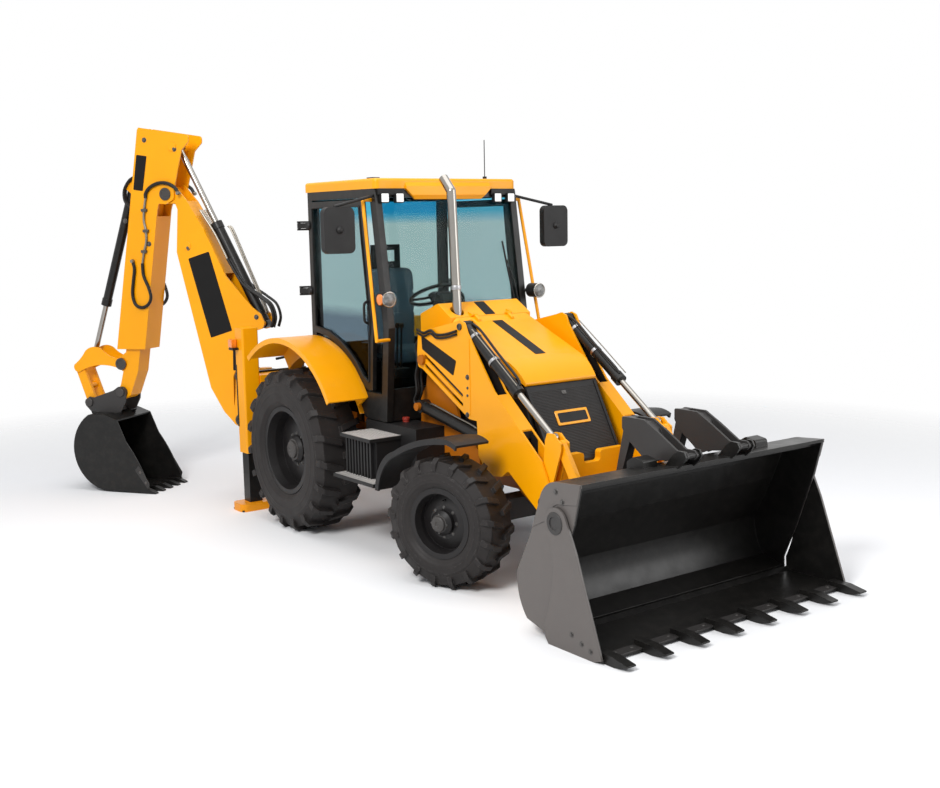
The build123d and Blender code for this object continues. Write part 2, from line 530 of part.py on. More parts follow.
# Cab interior
console_outline = [(820, floor_top), (1030, floor_top), (1030, 1310), (1060, 1760), (980, 1820),
                   (900, 1700), (900, 1300), (820, 1200)]
console = side_plate(console_outline, -260, 260)
wheel_plane = Plane(origin=(800, 0, 1800), z_dir=(-0.45, 0, 0.89))
steering_wheel = wheel_plane * (Torus(205, 16) + Cylinder(45, 30) + Box(400, 34, 16) + Box(34, 400, 16))
column = bar((905, 0, 1590), (806, 0, 1788), 30)
seat_base = block(150, 600, -230, 230, floor_top, 1430) + block(19, 160, -200, 200, 1400, 1430)
seat_base += block(19, 39, -200, 200, 1400, 2200)
seat_base += block(19, 39, -150, 150, 2190, 2440) - block(10, 50, -100, 100, 2290, 2390)
nodes["cab_interior"] = [seat_base, console + steering_wheel + column]
nodes["seat_cushions"] = [block(150, 660, -250, 250, 1430 + slide_play, 1560),
                          block(39 + slide_play, 150 - slide_play, -250, 250, 1470, 2250)]

# Rear fenders, steps and front mudguards
def arc_band(centre, outer, inner, start, end, low, high):
    """Band between two radii, seen from the side, over a range of angles."""
    ends = [math.radians(a) for a in (start, (start + end) / 2, end)]
    far = [(centre[0] + outer * math.cos(a), centre[1] + outer * math.sin(a)) for a in ends]
    close = [(centre[0] + inner * math.cos(a), centre[1] + inner * math.sin(a)) for a in ends]
    return side_plate(bent(far[0], (far[1], far[2]), close[2], (close[1], close[0])), low, high)


fender = arc_band((0, rear_radius - 10), 985, 965, 32, 128, 730, 1090)
fender += arc_band((0, rear_radius - 10), 985, 940, 32, 128, 1078, 1090)
fender += arc_band((0, rear_radius), 976, 823, 32, 128, 712, 732)
fender += arc_band((0, rear_radius), 822, 806, 27, 128, tub_half + 1, 733)
nodes["rear_fenders"] = both(fender)
box_front = wheelbase - 670
side_box = block(760, box_front, 430, 700, 560, 1030)
side_box += block(839, box_front - 208, 690, 1000, 930, 957) + block(801, box_front - 91, 690, 1050, 600, 628)
side_box += block(860, box_front - 220, 690, 930, 627, 931)
for index in range(9):
    side_box += block(862 + index * 45, 884 + index * 45, 929, 962, 627, 931)
guard_outer = ((-645, 800), (-447, 936)), ((-136, 1057), (179, 1114)), ((280, 1112), (356, 1087))
guard = side_plate(bent((-720, 596), *guard_outer, (350, 1070), ((278, 1095), (180, 1096)),
                        ((-132, 1038), (-436, 920)), ((-628, 788), (-702, 594))), 770, 1060)
guard += side_plate(bent((-720, 596), *guard_outer, (345, 1050), ((276, 1074), (182, 1072)),
                         ((-126, 1014), (-424, 900)), ((-600, 774), (-676, 594))), 1044, 1060)
guard += block(-730, -708, 699, 800, 580, 640)
side_box += Pos(wheelbase, 0, 0) * guard
nodes["side_steps"] = both(side_box)

# Mirrors, grab rails and lamps on the cab
mirror_arm = bar((985, cab_half - 5, 2845), (1040, 1100, 2760), 12)
mirror_head = front_plate(eased([(955, 2400), (1225, 2400), (1225, 2755), (955, 2755)], 50, 0, 1, 2, 3), 1042, 1104)
lamp_bank = block(1010, 1032, 440, 690, 2850, roof_bottom)
for lamp_y in (495, 636):
    lamp_bank += front_plate(eased([(lamp_y - 40, 2786), (lamp_y + 40, 2786), (lamp_y + 40, 2866), (lamp_y - 40, 2866)],
                                   10, 0, 1, 2, 3), 1012, 1048)
aerial = bar((757, 579, roof_top), (757, 579, 3324), 4) + bar((757, 579, roof_top), (757, 579, roof_top + 30), 18)
grab = bar((960, 790, 2810), (1182, 835, 1700), 14) + bar((960, 700, 2812), (960, 794, 2812), 14)
grab += bar((1150, 700, 1710), (1182, 839, 1710), 14)
lamp = bar((1150, 760, 2036), (1262, 760, 2036), 60) + bar((1120, 700, 2036), (1160, 760, 2036), 14)
nodes["mirrors_and_lamps"] = (both(mirror_arm + mirror_head - cab_frame) + both(lamp - cab_frame - grab)
                              + both(lamp_bank - cab_frame) + [aerial, block(560, 650, -500, -430, roof_top, roof_top + 22)])
nodes["grab_rails"] = both(grab - cab_frame)

# Stabilisers and the rear frame that the backhoe slides on
box_half = 82.0
housing = block(stabiliser_x - box_half, stabiliser_x + box_half, stabiliser_y - box_half,
                stabiliser_y + box_half, 540, 1700)
housing = fillet(housing.edges().filter_by(Axis.Z), 18)
housing -= block(stabiliser_x - 70, stabiliser_x + 70, stabiliser_y - 70, stabiliser_y + 70, 600, 1680)
neck = 62 + slide_play
housing -= block(stabiliser_x - neck, stabiliser_x + neck, stabiliser_y - neck, stabiliser_y + neck, 500, 610)
beam_top = block(-1020, -840, -849, 849, 1180, 1260)
beam_bottom = block(-1020, -840, -849, 849, 560, 640)
plate_side = block(-1020, -1000, -849, 849, 560, 1260)
nodes["rear_frame"] = housing + mirror(housing, about=Plane.XZ) + beam_top + beam_bottom + plate_side
leg = block(stabiliser_x - 62, stabiliser_x + 62, stabiliser_y - 62, stabiliser_y + 62, 70, 1200)
foot = block(stabiliser_x - 110, stabiliser_x + 110, stabiliser_y - 170, stabiliser_y + 170, 0, 72)
leg += fillet(foot.edges().filter_by(Axis.Z), 60)
nodes["stabiliser_leg_left"] = leg
nodes["stabiliser_leg_right"] = mirror(leg, about=Plane.XZ)

# Sliding carriage and kingpost, about the post's axis
carriage = block(-1055, -1020 - slide_play, kingpost_y - 260, kingpost_y + 260, 540, 1280)
carriage += block(-1300, -1031, kingpost_y - 110, kingpost_y + 110, 560, 680)
carriage += block(-1300, -1031, kingpost_y - 110, kingpost_y + 110, 1120, 1240)
post = Pos(kingpost_x, kingpost_y, 0)
carriage += post * Pos(0, 0, 620) * Cylinder(110, 120)
carriage += post * Pos(0, 0, 1180) * Cylinder(110, 120)
carriage -= post * Pos(0, 0, 900) * Cylinder(60 + pin_play, 900)
nodes["shift_carriage"] = carriage
to_backhoe = post * Rot(0, 0, 180 + rest_swing)


def hoe(shape):
    """Moves a shape from the plane of the boom to the machine."""
    return to_backhoe * shape


def plates(outline, inner, outer):
    """A pair of plates either side of the boom's plane."""
    return side_plate(outline, inner, outer) + side_plate(outline, -outer, -inner)


def web(points, thickness, half):
    """Bent plate across the boom's plane, along a run of points, laid to the right of the run."""
    shifted = []
    for index, point in enumerate(points):
        before = points[max(index - 1, 0)]
        after = points[min(index + 1, len(points) - 1)]
        run = math.dist(before, after)
        shifted.append((point[0] + (after[1] - before[1]) / run * thickness,
                        point[1] - (after[0] - before[0]) / run * thickness))
    return side_plate(list(points) + shifted[::-1], -half, half)


king = Pos(0, 0, 900) * Cylinder(60, 720) + Pos(0, 0, 900) * Cylinder(105, 420)
king_plate = [(-60, 692), (150, 692), (205, 680), (285, 720), (290, 800), (262, 1000), (250, 1180),
              (225, 1245), (165, 1250), (125, 1200), (122, 1112), (-60, 1108)]
king += plates(king_plate, 125, 150) + block(-50, 90, -126, 126, 700, 740)
king += block(-50, 100, -126, 126, 1060, 1106)
king += cross_pin(boom_foot, -160, 160, 40) + cross_pin(boom_ram_base, -160, 160, 30)
nodes["kingpost"] = hoe(king)

# Boom: twin plates and webs with the boom ram between them
boom_outline = [(135, 740), (160, 695), (205, 684), (295, 700), (420, 830), (554, 1062), (861, 2389),
                (828, 2800), (850, 2858), (960, 2858), (1032, 2900), (1032, 3000), (980, 3040),
                (860, 3040), (720, 2880), (560, 2620), (330, 2150), (60, 1850), (-24, 1790), (-66, 1700),
                (-40, 1650), (20, 1632), (156, 1655), (248, 1330), (262, 1260), (300, 1180), (306, 900),
                (280, 820), (205, 836), (140, 800)]
boom = plates(eased(boom_outline, 34, 3, 4, 9, 10, 11, 12, 13, 17, 18, 19, 20, 21, 22), 85, 105)
boom += web([(425, 830), (554, 1062), (861, 2389), (828, 2780)], -18, 86)
boom += web([(720, 2880), (560, 2620), (345, 2180)], -18, 86)
boom += cross_pin(dipper_ram_base, -90, 90, 28) + cross_pin(dipper_pivot, -134, 134, 45)
boom += cross_pin(dipper_pivot, -86, 86, 75)
boom += cross_pin(boom_ram_pin, 46, 112, 40) + cross_pin(boom_ram_pin, -112, -46, 40)
boom += cross_pin(boom_foot, 50, 118, 74) + cross_pin(boom_foot, -118, -50, 74)
boom -= pin_bore(boom_foot, 0, 130, 40)
nodes["boom"] = hoe(boom)
nodes["boom_barrel"] = hoe(ram_barrel(boom_ram_base, boom_ram_pin, 0, 1150, 60, 32, 48, 80)
                           - pin_bore(boom_ram_base, 0, 100, 30))
nodes["boom_rod"] = hoe(ram_rod(boom_ram_base, boom_ram_pin, 0, 330, 32, 42, 80))

slide_length = math.dist(dipper_top, dipper_end)
slide_dir = ((dipper_end[0] - dipper_top[0]) / slide_length, (dipper_end[1] - dipper_top[1]) / slide_length)


def on_slide(distance, offset):
    """Place in the boom's plane from the dipper's centre line: along it and outwards."""
    return (dipper_top[0] + slide_dir[0] * distance - slide_dir[1] * offset,
            dipper_top[1] + slide_dir[1] * distance + slide_dir[0] * offset)


# Dipper: two side plates and webs round the telescoping section
dipper_outline = [near(dipper_top, -404, -120), near(dipper_top, -404, -58), near(dipper_top, 155, 35),
                  near(dipper_end, 163, -1), near(dipper_end, -163, 2), near(dipper_pivot, 100, -150),
                  near(dipper_pivot, 80, -90), near(dipper_pivot, 0, -98), near(dipper_pivot, -90, -50),
                  near(dipper_pivot, -98, 40), near(dipper_ram_pin, -99, -40)]
dipper = plates(eased(dipper_outline, 30, 0, 1, 2, 5, 8, 10), 112, 128)
top_web = web([near(dipper_top, -50, -15), near(dipper_top, 140, 17)], 16, 113)
front_web = side_plate([near(dipper_pivot, 110, -210), near(dipper_end, -163, 2), near(dipper_end, -147, 2),
                        near(dipper_pivot, 126, -210)], -113, 113)
back_strip = [near(dipper_top, 139, 17), near(dipper_top, 155, 35), on_slide(slide_length - 310, 160),
              on_slide(slide_length - 310, 144)]
dipper += top_web + front_web
dipper += side_plate(back_strip, 74, 113) + side_plate(back_strip, -113, -74)
dipper += cross_pin(dipper_ram_pin, 46, 136, 44) + cross_pin(dipper_ram_pin, -136, -46, 44)
dipper -= pin_bore(dipper_pivot, 0, 140, 45)
for distance in (640, slide_length - 162):
    pad = [on_slide(distance, -60), on_slide(distance, 60), on_slide(distance + 90, 60),
           on_slide(distance + 90, -60)]
    dipper += plates(pad, 92 + slide_play, 113)
nodes["dipper"] = hoe(dipper)
nodes["dipper_barrel"] = hoe(ram_barrel(dipper_ram_base, dipper_ram_pin, 0, 1080, 52, 30, 44, 80)
                             - pin_bore(dipper_ram_base, 0, 100, 28))
nodes["dipper_rod"] = hoe(ram_rod(dipper_ram_base, dipper_ram_pin, 0, 860, 30, 44, 80))

inner_outline = [on_slide(430, -80), on_slide(430, 80), on_slide(slide_length + 48, 80), (1600, 1336), (1636, 1290),
                 (1610, 1230), (1560, 1200), (1600, 1060), (1646, 1000), (1610, 930), (1550, 924),
                 (1490, 960), on_slide(slide_length + 218, -80)]
inner = side_plate(inner_outline, -92, 92)
inner -= side_plate([on_slide(300, -66), on_slide(300, 66), on_slide(slide_length - 12, 66),
                     on_slide(slide_length - 12, -66)], -78, 78)
inner -= cross_pin(tip_lever_pivot, -95, -80, 60) + cross_pin(tip_lever_pivot, 80, 95, 60)
lug_outline = [on_slide(450, 79), on_slide(470, 190), near(bucket_ram_base, -21, 42), near(bucket_ram_base, 34, 27),
               near(bucket_ram_base, 44, -23), near(bucket_ram_base, 9, -48), on_slide(720, 79)]
inner += plates(lug_outline, 50, 64) + cross_pin(bucket_ram_base, -64, 64, 25)
inner += cross_pin(tip_lever_pivot, -107, 107, 30)
inner -= pin_bore(hoe_pivot, 0, 100, 35)
nodes["dipper_inner"] = hoe(inner)

# Bucket ram, tipping lever and link
nodes["bucket_barrel"] = hoe(ram_barrel(bucket_ram_base, tip_lever_ram, 0, 1230, 44, 26, 42, 90)
                             - pin_bore(bucket_ram_base, 0, 100, 25))
nodes["bucket_rod"] = hoe(ram_rod(bucket_ram_base, tip_lever_ram, 0, 510, 26, 42, 76))
hoe_lever_face = bent((1574, 1222), ((1800, 1262), (2056, 1196)), ((2126, 1206), (2128, 1262)),
                      ((2055, 1322), (1990, 1402)), ((1890, 1446), (1790, 1420)), ((1690, 1352), (1560, 1330)),
                      ((1519, 1274), (1574, 1222)))
hoe_lever = plates(hoe_lever_face, 97, 107)
hoe_lever -= pin_bore(tip_lever_pivot, 0, 120, 30)
hoe_lever += cross_pin(tip_lever_ram, 46, 107, 28) + cross_pin(tip_lever_ram, -107, -46, 28)
hoe_lever += cross_pin(tip_lever_link, 58, 107, 28) + cross_pin(tip_lever_link, -107, -58, 28)
nodes["hoe_lever"] = hoe(hoe_lever)
hoe_link_outline = [(2036, 1250), (2060, 1285), (2105, 1285), (2130, 1230), (2000, 860), (1960, 832),
                    (1915, 850), (1908, 900)]
hoe_link = plates(eased(hoe_link_outline, 18, 0, 2, 3, 4, 6), 60, 92)
hoe_link += bar((2010, -61, 1040), (2010, 61, 1040), 34)
hoe_link -= pin_bore(tip_lever_link, 0, 120, 28)
nodes["hoe_link"] = hoe(hoe_link)

# Quick hitch and backhoe bucket
hitch_outline = [(1520, 990), (1540, 1035), (1600, 1050), (1660, 1010), (1900, 930), (1950, 938),
                 (2005, 900), (2000, 850), (1940, 790), (1700, 770), (1590, 790), (1530, 900)]
hitch = plates(eased(hitch_outline, 24, 0, 1, 2, 6, 7, 11), 120, 138) + cross_pin(hoe_pivot, -144, 144, 35)
hitch += cross_pin(hoe_pivot, 97, 121, 55) + cross_pin(hoe_pivot, -121, -97, 55)
hitch += cross_pin(hoe_link_pin, 119, 144, 30) + cross_pin(hoe_link_pin, -144, -119, 30)
nodes["quick_hitch"] = hoe(hitch)
hoe_back = (1680, 786), (1860, 780), ((2056, 420), (1640, 2))
hoe_shell = side_plate(bent((1532, 735), *hoe_back, (1230, 2), (1230, 18), (1640, 18), ((2040, 420), (1852, 764)),
                            (1683, 770), (1538, 719)), -hoe_bucket_half + 1, hoe_bucket_half - 1)
hoe_side = side_plate(bent((1532, 735), *hoe_back, (1190, 2), (1190, 40), ((1300, 300), (1440, 520))), 0, 14)
bucket = hoe_shell + Pos(0, -hoe_bucket_half, 0) * hoe_side + Pos(0, hoe_bucket_half - 14, 0) * hoe_side
hoe_tooth = side_plate([(1330, 0), (1330, 44), (1220, 50), (1127, 14), (1127, 2), (1200, 0)], -26, 26)
for index in range(5):
    bucket += Pos(0, -270 + index * 135, 0) * hoe_tooth
bucket += plates([(1600, 760), (1580, 789), (1700, 769), (1940, 789), (1900, 700)], 120, 138)
nodes["hoe_bucket"] = hoe(bucket - hitch)

# Every piece is moved so that the origin is under the middle of the machine, and written out
pieces = {name: (shape if isinstance(shape, list) else [shape]) for name, shape in nodes.items()}
whole = Compound(children=[solid for shapes in pieces.values() for solid in shapes]).bounding_box()
to_origin = Pos(-(whole.min.X + whole.max.X) / 2, -(whole.min.Y + whole.max.Y) / 2, -whole.min.Z)
os.makedirs("parts", exist_ok=True)
for name, shapes in pieces.items():
    export_step(to_origin * Compound(children=shapes), "parts/" + name + ".step")
print(len(pieces), "nodes, size", whole.size, "shift", to_origin.position)
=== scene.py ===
import json
import math
import bmesh
import bpy
import numpy as np
from mathutils import Matrix, Vector

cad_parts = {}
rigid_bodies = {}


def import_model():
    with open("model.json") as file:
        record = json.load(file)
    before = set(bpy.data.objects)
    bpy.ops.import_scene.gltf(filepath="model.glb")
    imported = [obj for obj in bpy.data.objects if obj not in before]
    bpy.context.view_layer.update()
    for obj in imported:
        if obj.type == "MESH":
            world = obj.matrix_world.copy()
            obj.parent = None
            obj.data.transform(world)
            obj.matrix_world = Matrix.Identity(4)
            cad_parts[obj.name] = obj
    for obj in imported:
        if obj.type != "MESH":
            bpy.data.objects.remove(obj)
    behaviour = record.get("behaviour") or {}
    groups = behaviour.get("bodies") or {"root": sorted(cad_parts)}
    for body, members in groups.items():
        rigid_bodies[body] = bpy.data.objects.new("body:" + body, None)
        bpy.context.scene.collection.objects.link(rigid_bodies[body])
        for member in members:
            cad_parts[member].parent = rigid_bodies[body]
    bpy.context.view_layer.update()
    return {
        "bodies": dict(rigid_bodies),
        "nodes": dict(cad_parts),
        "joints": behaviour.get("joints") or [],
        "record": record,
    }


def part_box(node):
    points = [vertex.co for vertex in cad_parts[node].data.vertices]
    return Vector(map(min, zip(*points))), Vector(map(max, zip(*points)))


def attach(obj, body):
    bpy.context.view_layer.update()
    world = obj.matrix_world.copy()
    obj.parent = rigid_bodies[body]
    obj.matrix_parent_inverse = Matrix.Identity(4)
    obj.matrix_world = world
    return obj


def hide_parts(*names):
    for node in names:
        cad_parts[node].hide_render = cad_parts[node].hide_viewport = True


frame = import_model()
nodes = frame["nodes"]

# Places below are in metres from the rear axle: x forward, y to the machine's left, z up.
# The engine block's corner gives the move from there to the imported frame.
engineLow = np.array(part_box("engine_block")[0])
shift = engineLow - np.array([1.25, -0.26, 0.70])

view = {"place": (9.166, -5.820, 2.613), "yaw": 143.614, "pitch": -8.096, "roll": -1.092,
        "focalPixels": 1199.1, "imageWidth": 940, "sensor": 36, "clipEnd": 200}


def makeCamera():
    yaw, pitch, roll = (math.radians(view[k]) for k in ("yaw", "pitch", "roll"))
    forward = Vector((math.cos(yaw) * math.cos(pitch), math.sin(yaw) * math.cos(pitch), math.sin(pitch)))
    right = Vector((math.sin(yaw), -math.cos(yaw), 0))
    up = right.cross(forward)
    turnedRight = right * math.cos(roll) + up * math.sin(roll)
    turnedUp = up * math.cos(roll) - right * math.sin(roll)
    data = bpy.data.cameras.new("photoCamera")
    data.sensor_width = view["sensor"]
    data.lens = view["focalPixels"] * view["sensor"] / view["imageWidth"]
    data.clip_end = view["clipEnd"]
    camera = bpy.data.objects.new("photoCamera", data)
    bpy.context.collection.objects.link(camera)
    rotation = Matrix((turnedRight, turnedUp, -forward)).transposed().to_4x4()
    camera.matrix_world = Matrix.Translation(Vector(view["place"]) + Vector(shift)) @ rotation
    bpy.context.scene.camera = camera


makeCamera()
print("camera set")


def linear(colour):
    # Turns a colour of 0 to 255 as seen on a screen into the light values that the shader wants
    values = np.array(colour) / 255
    out = np.where(values <= 0.04045, values / 12.92, ((values + 0.055) / 1.055) ** 2.4)
    return (*[float(v) for v in out], 1)


class Nodes:
    # Small helper that adds and joins the shader nodes of one material, or of the world
    def __init__(self, owner):
        owner.use_nodes = True
        self.owner = owner
        self.tree = owner.node_tree
        self.shader = self.tree.nodes.get("Principled BSDF")
        self.coords = self.tree.nodes.new("ShaderNodeTexCoord").outputs["Object"]

    def add(self, kind, **inputs):
        node = self.tree.nodes.new(kind)
        for key, value in inputs.items():
            self.join(value, node.inputs[key])
        return node

    def join(self, value, socket):
        if hasattr(value, "is_output"):
            self.tree.links.new(value, socket)
        else:
            socket.default_value = value

    def noise(self, scale, detail=3, roughness=0.5):
        return self.add("ShaderNodeTexNoise", Vector=self.coords, Scale=scale, Detail=detail,
                        Roughness=roughness).outputs["Fac"]

    def ramp(self, value, low, high, outLow, outHigh):
        node = self.add("ShaderNodeMapRange", Value=value)
        for key, number in (("From Min", low), ("From Max", high), ("To Min", outLow), ("To Max", outHigh)):
            node.inputs[key].default_value = number
        return node.outputs["Result"]

    def blend(self, factor, first, second):
        node = self.tree.nodes.new("ShaderNodeMix")
        node.data_type = "RGBA"
        for index, value in ((0, factor), (6, first), (7, second)):
            self.join(value, node.inputs[index])
        return node.outputs[2]

    def math(self, kind, *values, node="ShaderNodeMath"):
        made = self.add(node)
        made.operation = kind
        for value, socket in zip(values, made.inputs):
            self.join(value, socket)
        return made.outputs["Value"]

    def place(self, axis):
        # One coordinate, in metres from the rear axle
        parts = self.add("ShaderNodeSeparateXYZ", Vector=self.coords)
        return self.math("SUBTRACT", parts.outputs[axis], float(shift["XYZ".index(axis)]))

    def setShader(self, **values):
        for key, value in values.items():
            self.join(value, self.shader.inputs[key.replace("_", " ")])

    def mixShaders(self, factor, first, second, output):
        mixer = self.add("ShaderNodeMixShader", Fac=factor)
        self.join(first.outputs[0], mixer.inputs[1])
        self.join(second.outputs[0], mixer.inputs[2])
        self.join(mixer.outputs[0], self.tree.nodes[output].inputs["Surface"])


# What a finish has where its own settings don't say otherwise
usual = dict(shade=0.86, patchScale=1.6, edge=0.004, wearAndGlint=0, under=(0.3, 0.3, 0.3, 1), dust=0,
             dustColour=(0.3, 0.27, 0.23, 1), roughScale=9, roughSpread=0.05, grain=0.08, grainDepth=0.001,
             grainScale=220, metal=0, specular=0.5, coat=0, coatRough=0.1, glow=0, bevelSamples=4,
             inside=None, flank=None, foot=None)


def makeFinish(name, settings):
    # A finish from its settings: colour that varies softly, a rounded look at the edges,
    # a fine surface grain, a little wear and dust where they gather, and lighter edges that are partly
    # painted highlight
    s = {**usual, **settings}
    m = Nodes(bpy.data.materials.new(name))
    base = linear(s["colour"])
    dark = tuple(c * s["shade"] for c in base[:3]) + (1,)
    colour = m.blend(m.ramp(m.noise(s["patchScale"], 4), 0.35, 0.65, 0, 1), base, dark)
    # painted shade inside the loader arm's pocket, where the arm's yellow lies in shadow
    if s["inside"]:
        colour = m.blend(pocketShadeMask(m), colour, linear(s["inside"]))
    if s["flank"]:
        beyond = m.math("GREATER_THAN", m.math("ABSOLUTE", m.place("Y")), s["flank"][0])
        colour = m.blend(beyond, colour, linear(s["flank"][1]))
    if s["foot"]:
        colour = m.blend(m.math("LESS_THAN", m.place("Z"), s["foot"][0]), colour, linear(s["foot"][1]))
    bevel = m.add("ShaderNodeBevel", Radius=s["edge"])
    bevel.samples = s["bevelSamples"]
    # Edge colour: real wear on the paints, a painted highlight on the tyres' lugs, and partly a painted
    # highlight on the black paint
    if s["wearAndGlint"]:
        dot = m.math("DOT_PRODUCT", bevel.outputs[0], m.add("ShaderNodeNewGeometry").outputs["Normal"],
                     node="ShaderNodeVectorMath")
        edges = m.ramp(dot, 0.97, 0.85, 0, 1)
        broken = m.ramp(m.noise(38, 5, 0.7), 0.5, 0.62, 0, s["wearAndGlint"])
        colour = m.blend(m.math("MULTIPLY", edges, broken), colour, s["under"])
    if s["dust"]:
        colour = m.blend(m.ramp(m.noise(14, 6, 0.75), 0.45, 0.8, 0, s["dust"]), colour, s["dustColour"])
    bump = m.add("ShaderNodeBump", Strength=s["grain"], Distance=s["grainDepth"],
                 Height=m.noise(s["grainScale"], 3, 0.6), Normal=bevel.outputs[0])
    spread = s["roughSpread"]
    rough = m.ramp(m.noise(s["roughScale"], 4), 0.3, 0.7, s["rough"] - spread, s["rough"] + spread)
    m.setShader(Base_Color=colour, Roughness=rough, Normal=bump.outputs[0], Metallic=s["metal"],
                Specular_IOR_Level=s["specular"], Coat_Weight=s["coat"], Coat_Roughness=s["coatRough"])
    if s["glow"]:
        m.setShader(Emission_Color=base, Emission_Strength=s["glow"])
    return m.owner


# The loader arm's pocket gets painted shade inside: the band of y between its walls, below its top edge
pocket = {"sideLow": 0.4545, "sideHigh": 0.5455, "rise": (1.352, 1.765, 0.229), "drop": (2.005, 1.81, -1.30),
          "slope": (2.32, 1.40, -0.834), "below": 0.012, "front": 2.69, "webFrom": 2.28, "webTop": 0.95}


# Mask of the painted shade: 1 inside the arm's pocket between its walls, 0 elsewhere
def pocketShadeMask(m):
    x, z, side = m.place("X"), m.place("Z"), m.math("ABSOLUTE", m.place("Y"))

    def line(key):
        startX, startZ, slope = pocket[key]
        return m.math("MULTIPLY_ADD", x, slope, startZ - slope * startX)

    top = m.math("MINIMUM", line("rise"), m.math("MAXIMUM", line("drop"), line("slope")))
    under = m.math("LESS_THAN", z, m.math("SUBTRACT", top, pocket["below"]))
    between = m.math("MULTIPLY", m.math("GREATER_THAN", side, pocket["sideLow"]),
                     m.math("LESS_THAN", side, pocket["sideHigh"]))
    openWeb = m.math("MAXIMUM", m.math("LESS_THAN", x, pocket["webFrom"]),
                     m.math("GREATER_THAN", z, pocket["webTop"]))
    inFront = m.math("LESS_THAN", x, pocket["front"])
    return m.math("MULTIPLY", m.math("MULTIPLY", under, between), m.math("MULTIPLY", openWeb, inFront))


yellow = dict(colour=(250, 166, 0), shade=0.92, rough=0.36, coat=0.12, specular=0.3, grain=0.03,
              grainScale=90, wearAndGlint=0.25, under=(0.45, 0.2, 0.02, 1))
# Black paint: its lighter edges are partly real wear and partly painted highlight
black = dict(colour=(22, 21, 20), rough=0.34, specular=0.3, grain=0.06, wearAndGlint=0.5, dust=0.04,
             under=(0.1, 0.095, 0.09, 1))
finishSettings = dict(
    yellowPaint=yellow,
    # the arm's yellow, with painted shade inside its pocket
    armPaintAndPocketShade=dict(yellow, inside=(36, 32, 30)),
    # a darker copy of the yellow: painted shade for the frame, which lies in shadow behind the lift rams and
    # under the arms
    framePaintedShade=dict(yellow, colour=(176, 98, 6), rough=0.5, coat=0),
    blackPaint=black,
    bucketPaint=dict(black, flank=(1.142, (92, 87, 84))),
    jawPaint=dict(black, flank=(1.160, (92, 87, 84))),
    legPaint=dict(black, foot=(0.075, (236, 150, 6))),
    greyPaint=dict(colour=(52, 50, 49), rough=0.42, specular=0.35, wearAndGlint=0.5, under=(0.22, 0.21, 0.2, 1)),
    chrome=dict(colour=(158, 154, 148), metal=1, rough=0.2, grain=0.02, edge=0.002),
    steel=dict(colour=(170, 170, 172), metal=1, rough=0.35, grain=0.1, edge=0.001),
    boltSteel=dict(colour=(92, 90, 88), metal=0.7, rough=0.42, grain=0.1, edge=0.0008),
    # the tyre's lighter edges are a painted highlight on the lugs
    tyreRubber=dict(colour=(40, 37, 36), rough=0.55, specular=0.22, grain=0.35, grainScale=160,
                    edge=0.012, dust=0.12, dustColour=(0.08, 0.072, 0.068, 1), wearAndGlint=0.6,
                    under=(0.13, 0.12, 0.115, 1)),
    rimPaint=dict(colour=(28, 26, 26), rough=0.42, specular=0.3, wearAndGlint=0.3, under=(0.12, 0.12, 0.12, 1)),
    hubPaint=dict(colour=(64, 61, 59), rough=0.45, specular=0.35, grain=0.1, wearAndGlint=0.4, edge=0.002,
                  under=(0.2, 0.2, 0.2, 1)),
    darkPlastic=dict(colour=(26, 25, 25), rough=0.5, specular=0.3, grain=0.25, grainScale=420),
    grilleDark=dict(colour=(46, 44, 43), rough=0.5, specular=0.3, grain=0.2, grainScale=500, edge=0.0005),
    plateBlack=dict(colour=(14, 13, 13), rough=0.4, specular=0.2, grain=0.04, edge=0.0006),
    hoseRubber=dict(colour=(22, 21, 20), rough=0.5, specular=0.3, grain=0.4, grainScale=700, edge=0.0008,
                    patchScale=9),
    pipeSteel=dict(colour=(140, 134, 124), metal=0.9, rough=0.34, edge=0.0008, patchScale=12),
    cast=dict(colour=(52, 52, 54), rough=0.6, grain=0.4, grainScale=120, grainDepth=0.002),
    lampLens=dict(colour=(238, 238, 236), rough=0.1, grain=0.3, grainScale=160, coat=0.8, glow=0.25,
                  edge=0.001),
    headGlass=dict(colour=(132, 132, 130), shade=0.4, patchScale=30, rough=0.16, grain=0.6, grainScale=90,
                   grainDepth=0.003, coat=0.4, edge=0.001),
    redCap=dict(colour=(150, 44, 30), rough=0.5, grain=0.1, edge=0.002),
    amberLens=dict(colour=(240, 130, 30), rough=0.15, grain=0.3, grainScale=200, coat=0.8, edge=0.001),
    redLens=dict(colour=(190, 30, 24), rough=0.18, grain=0.3, grainScale=200, coat=0.8, edge=0.001),
    mirrorGlass=dict(colour=(225, 230, 235), metal=1, rough=0.04, roughSpread=0.02, grain=0.01,
                     edge=0.0008),
    stepPlate=dict(colour=(178, 174, 170), metal=0.2, rough=0.45, grain=0.12, edge=0.0008, dust=0.15),
    cloth=dict(colour=(88, 104, 116), rough=0.85, grain=0.5, grainScale=600, specular=0.2))
finishes = {name: makeFinish(name, settings) for name, settings in finishSettings.items()}
# Tinted glass: "band" gives two heights and how much of the second tint there is at each
glassLooks = dict(glass=dict(clear=(0.51, 0.64, 0.635, 1), film=(0.60, 0.68, 0.68, 1),
                             second=(0.09, 0.45, 0.62, 1), band=(2.62, 2.72, 0, 1)),
                  doorGlass=dict(clear=(0.50, 0.62, 0.64, 1), film=(0.56, 0.64, 0.66, 1),
                                 second=(0.20, 0.245, 0.31, 1), band=(1.86, 1.96, 1, 0)))


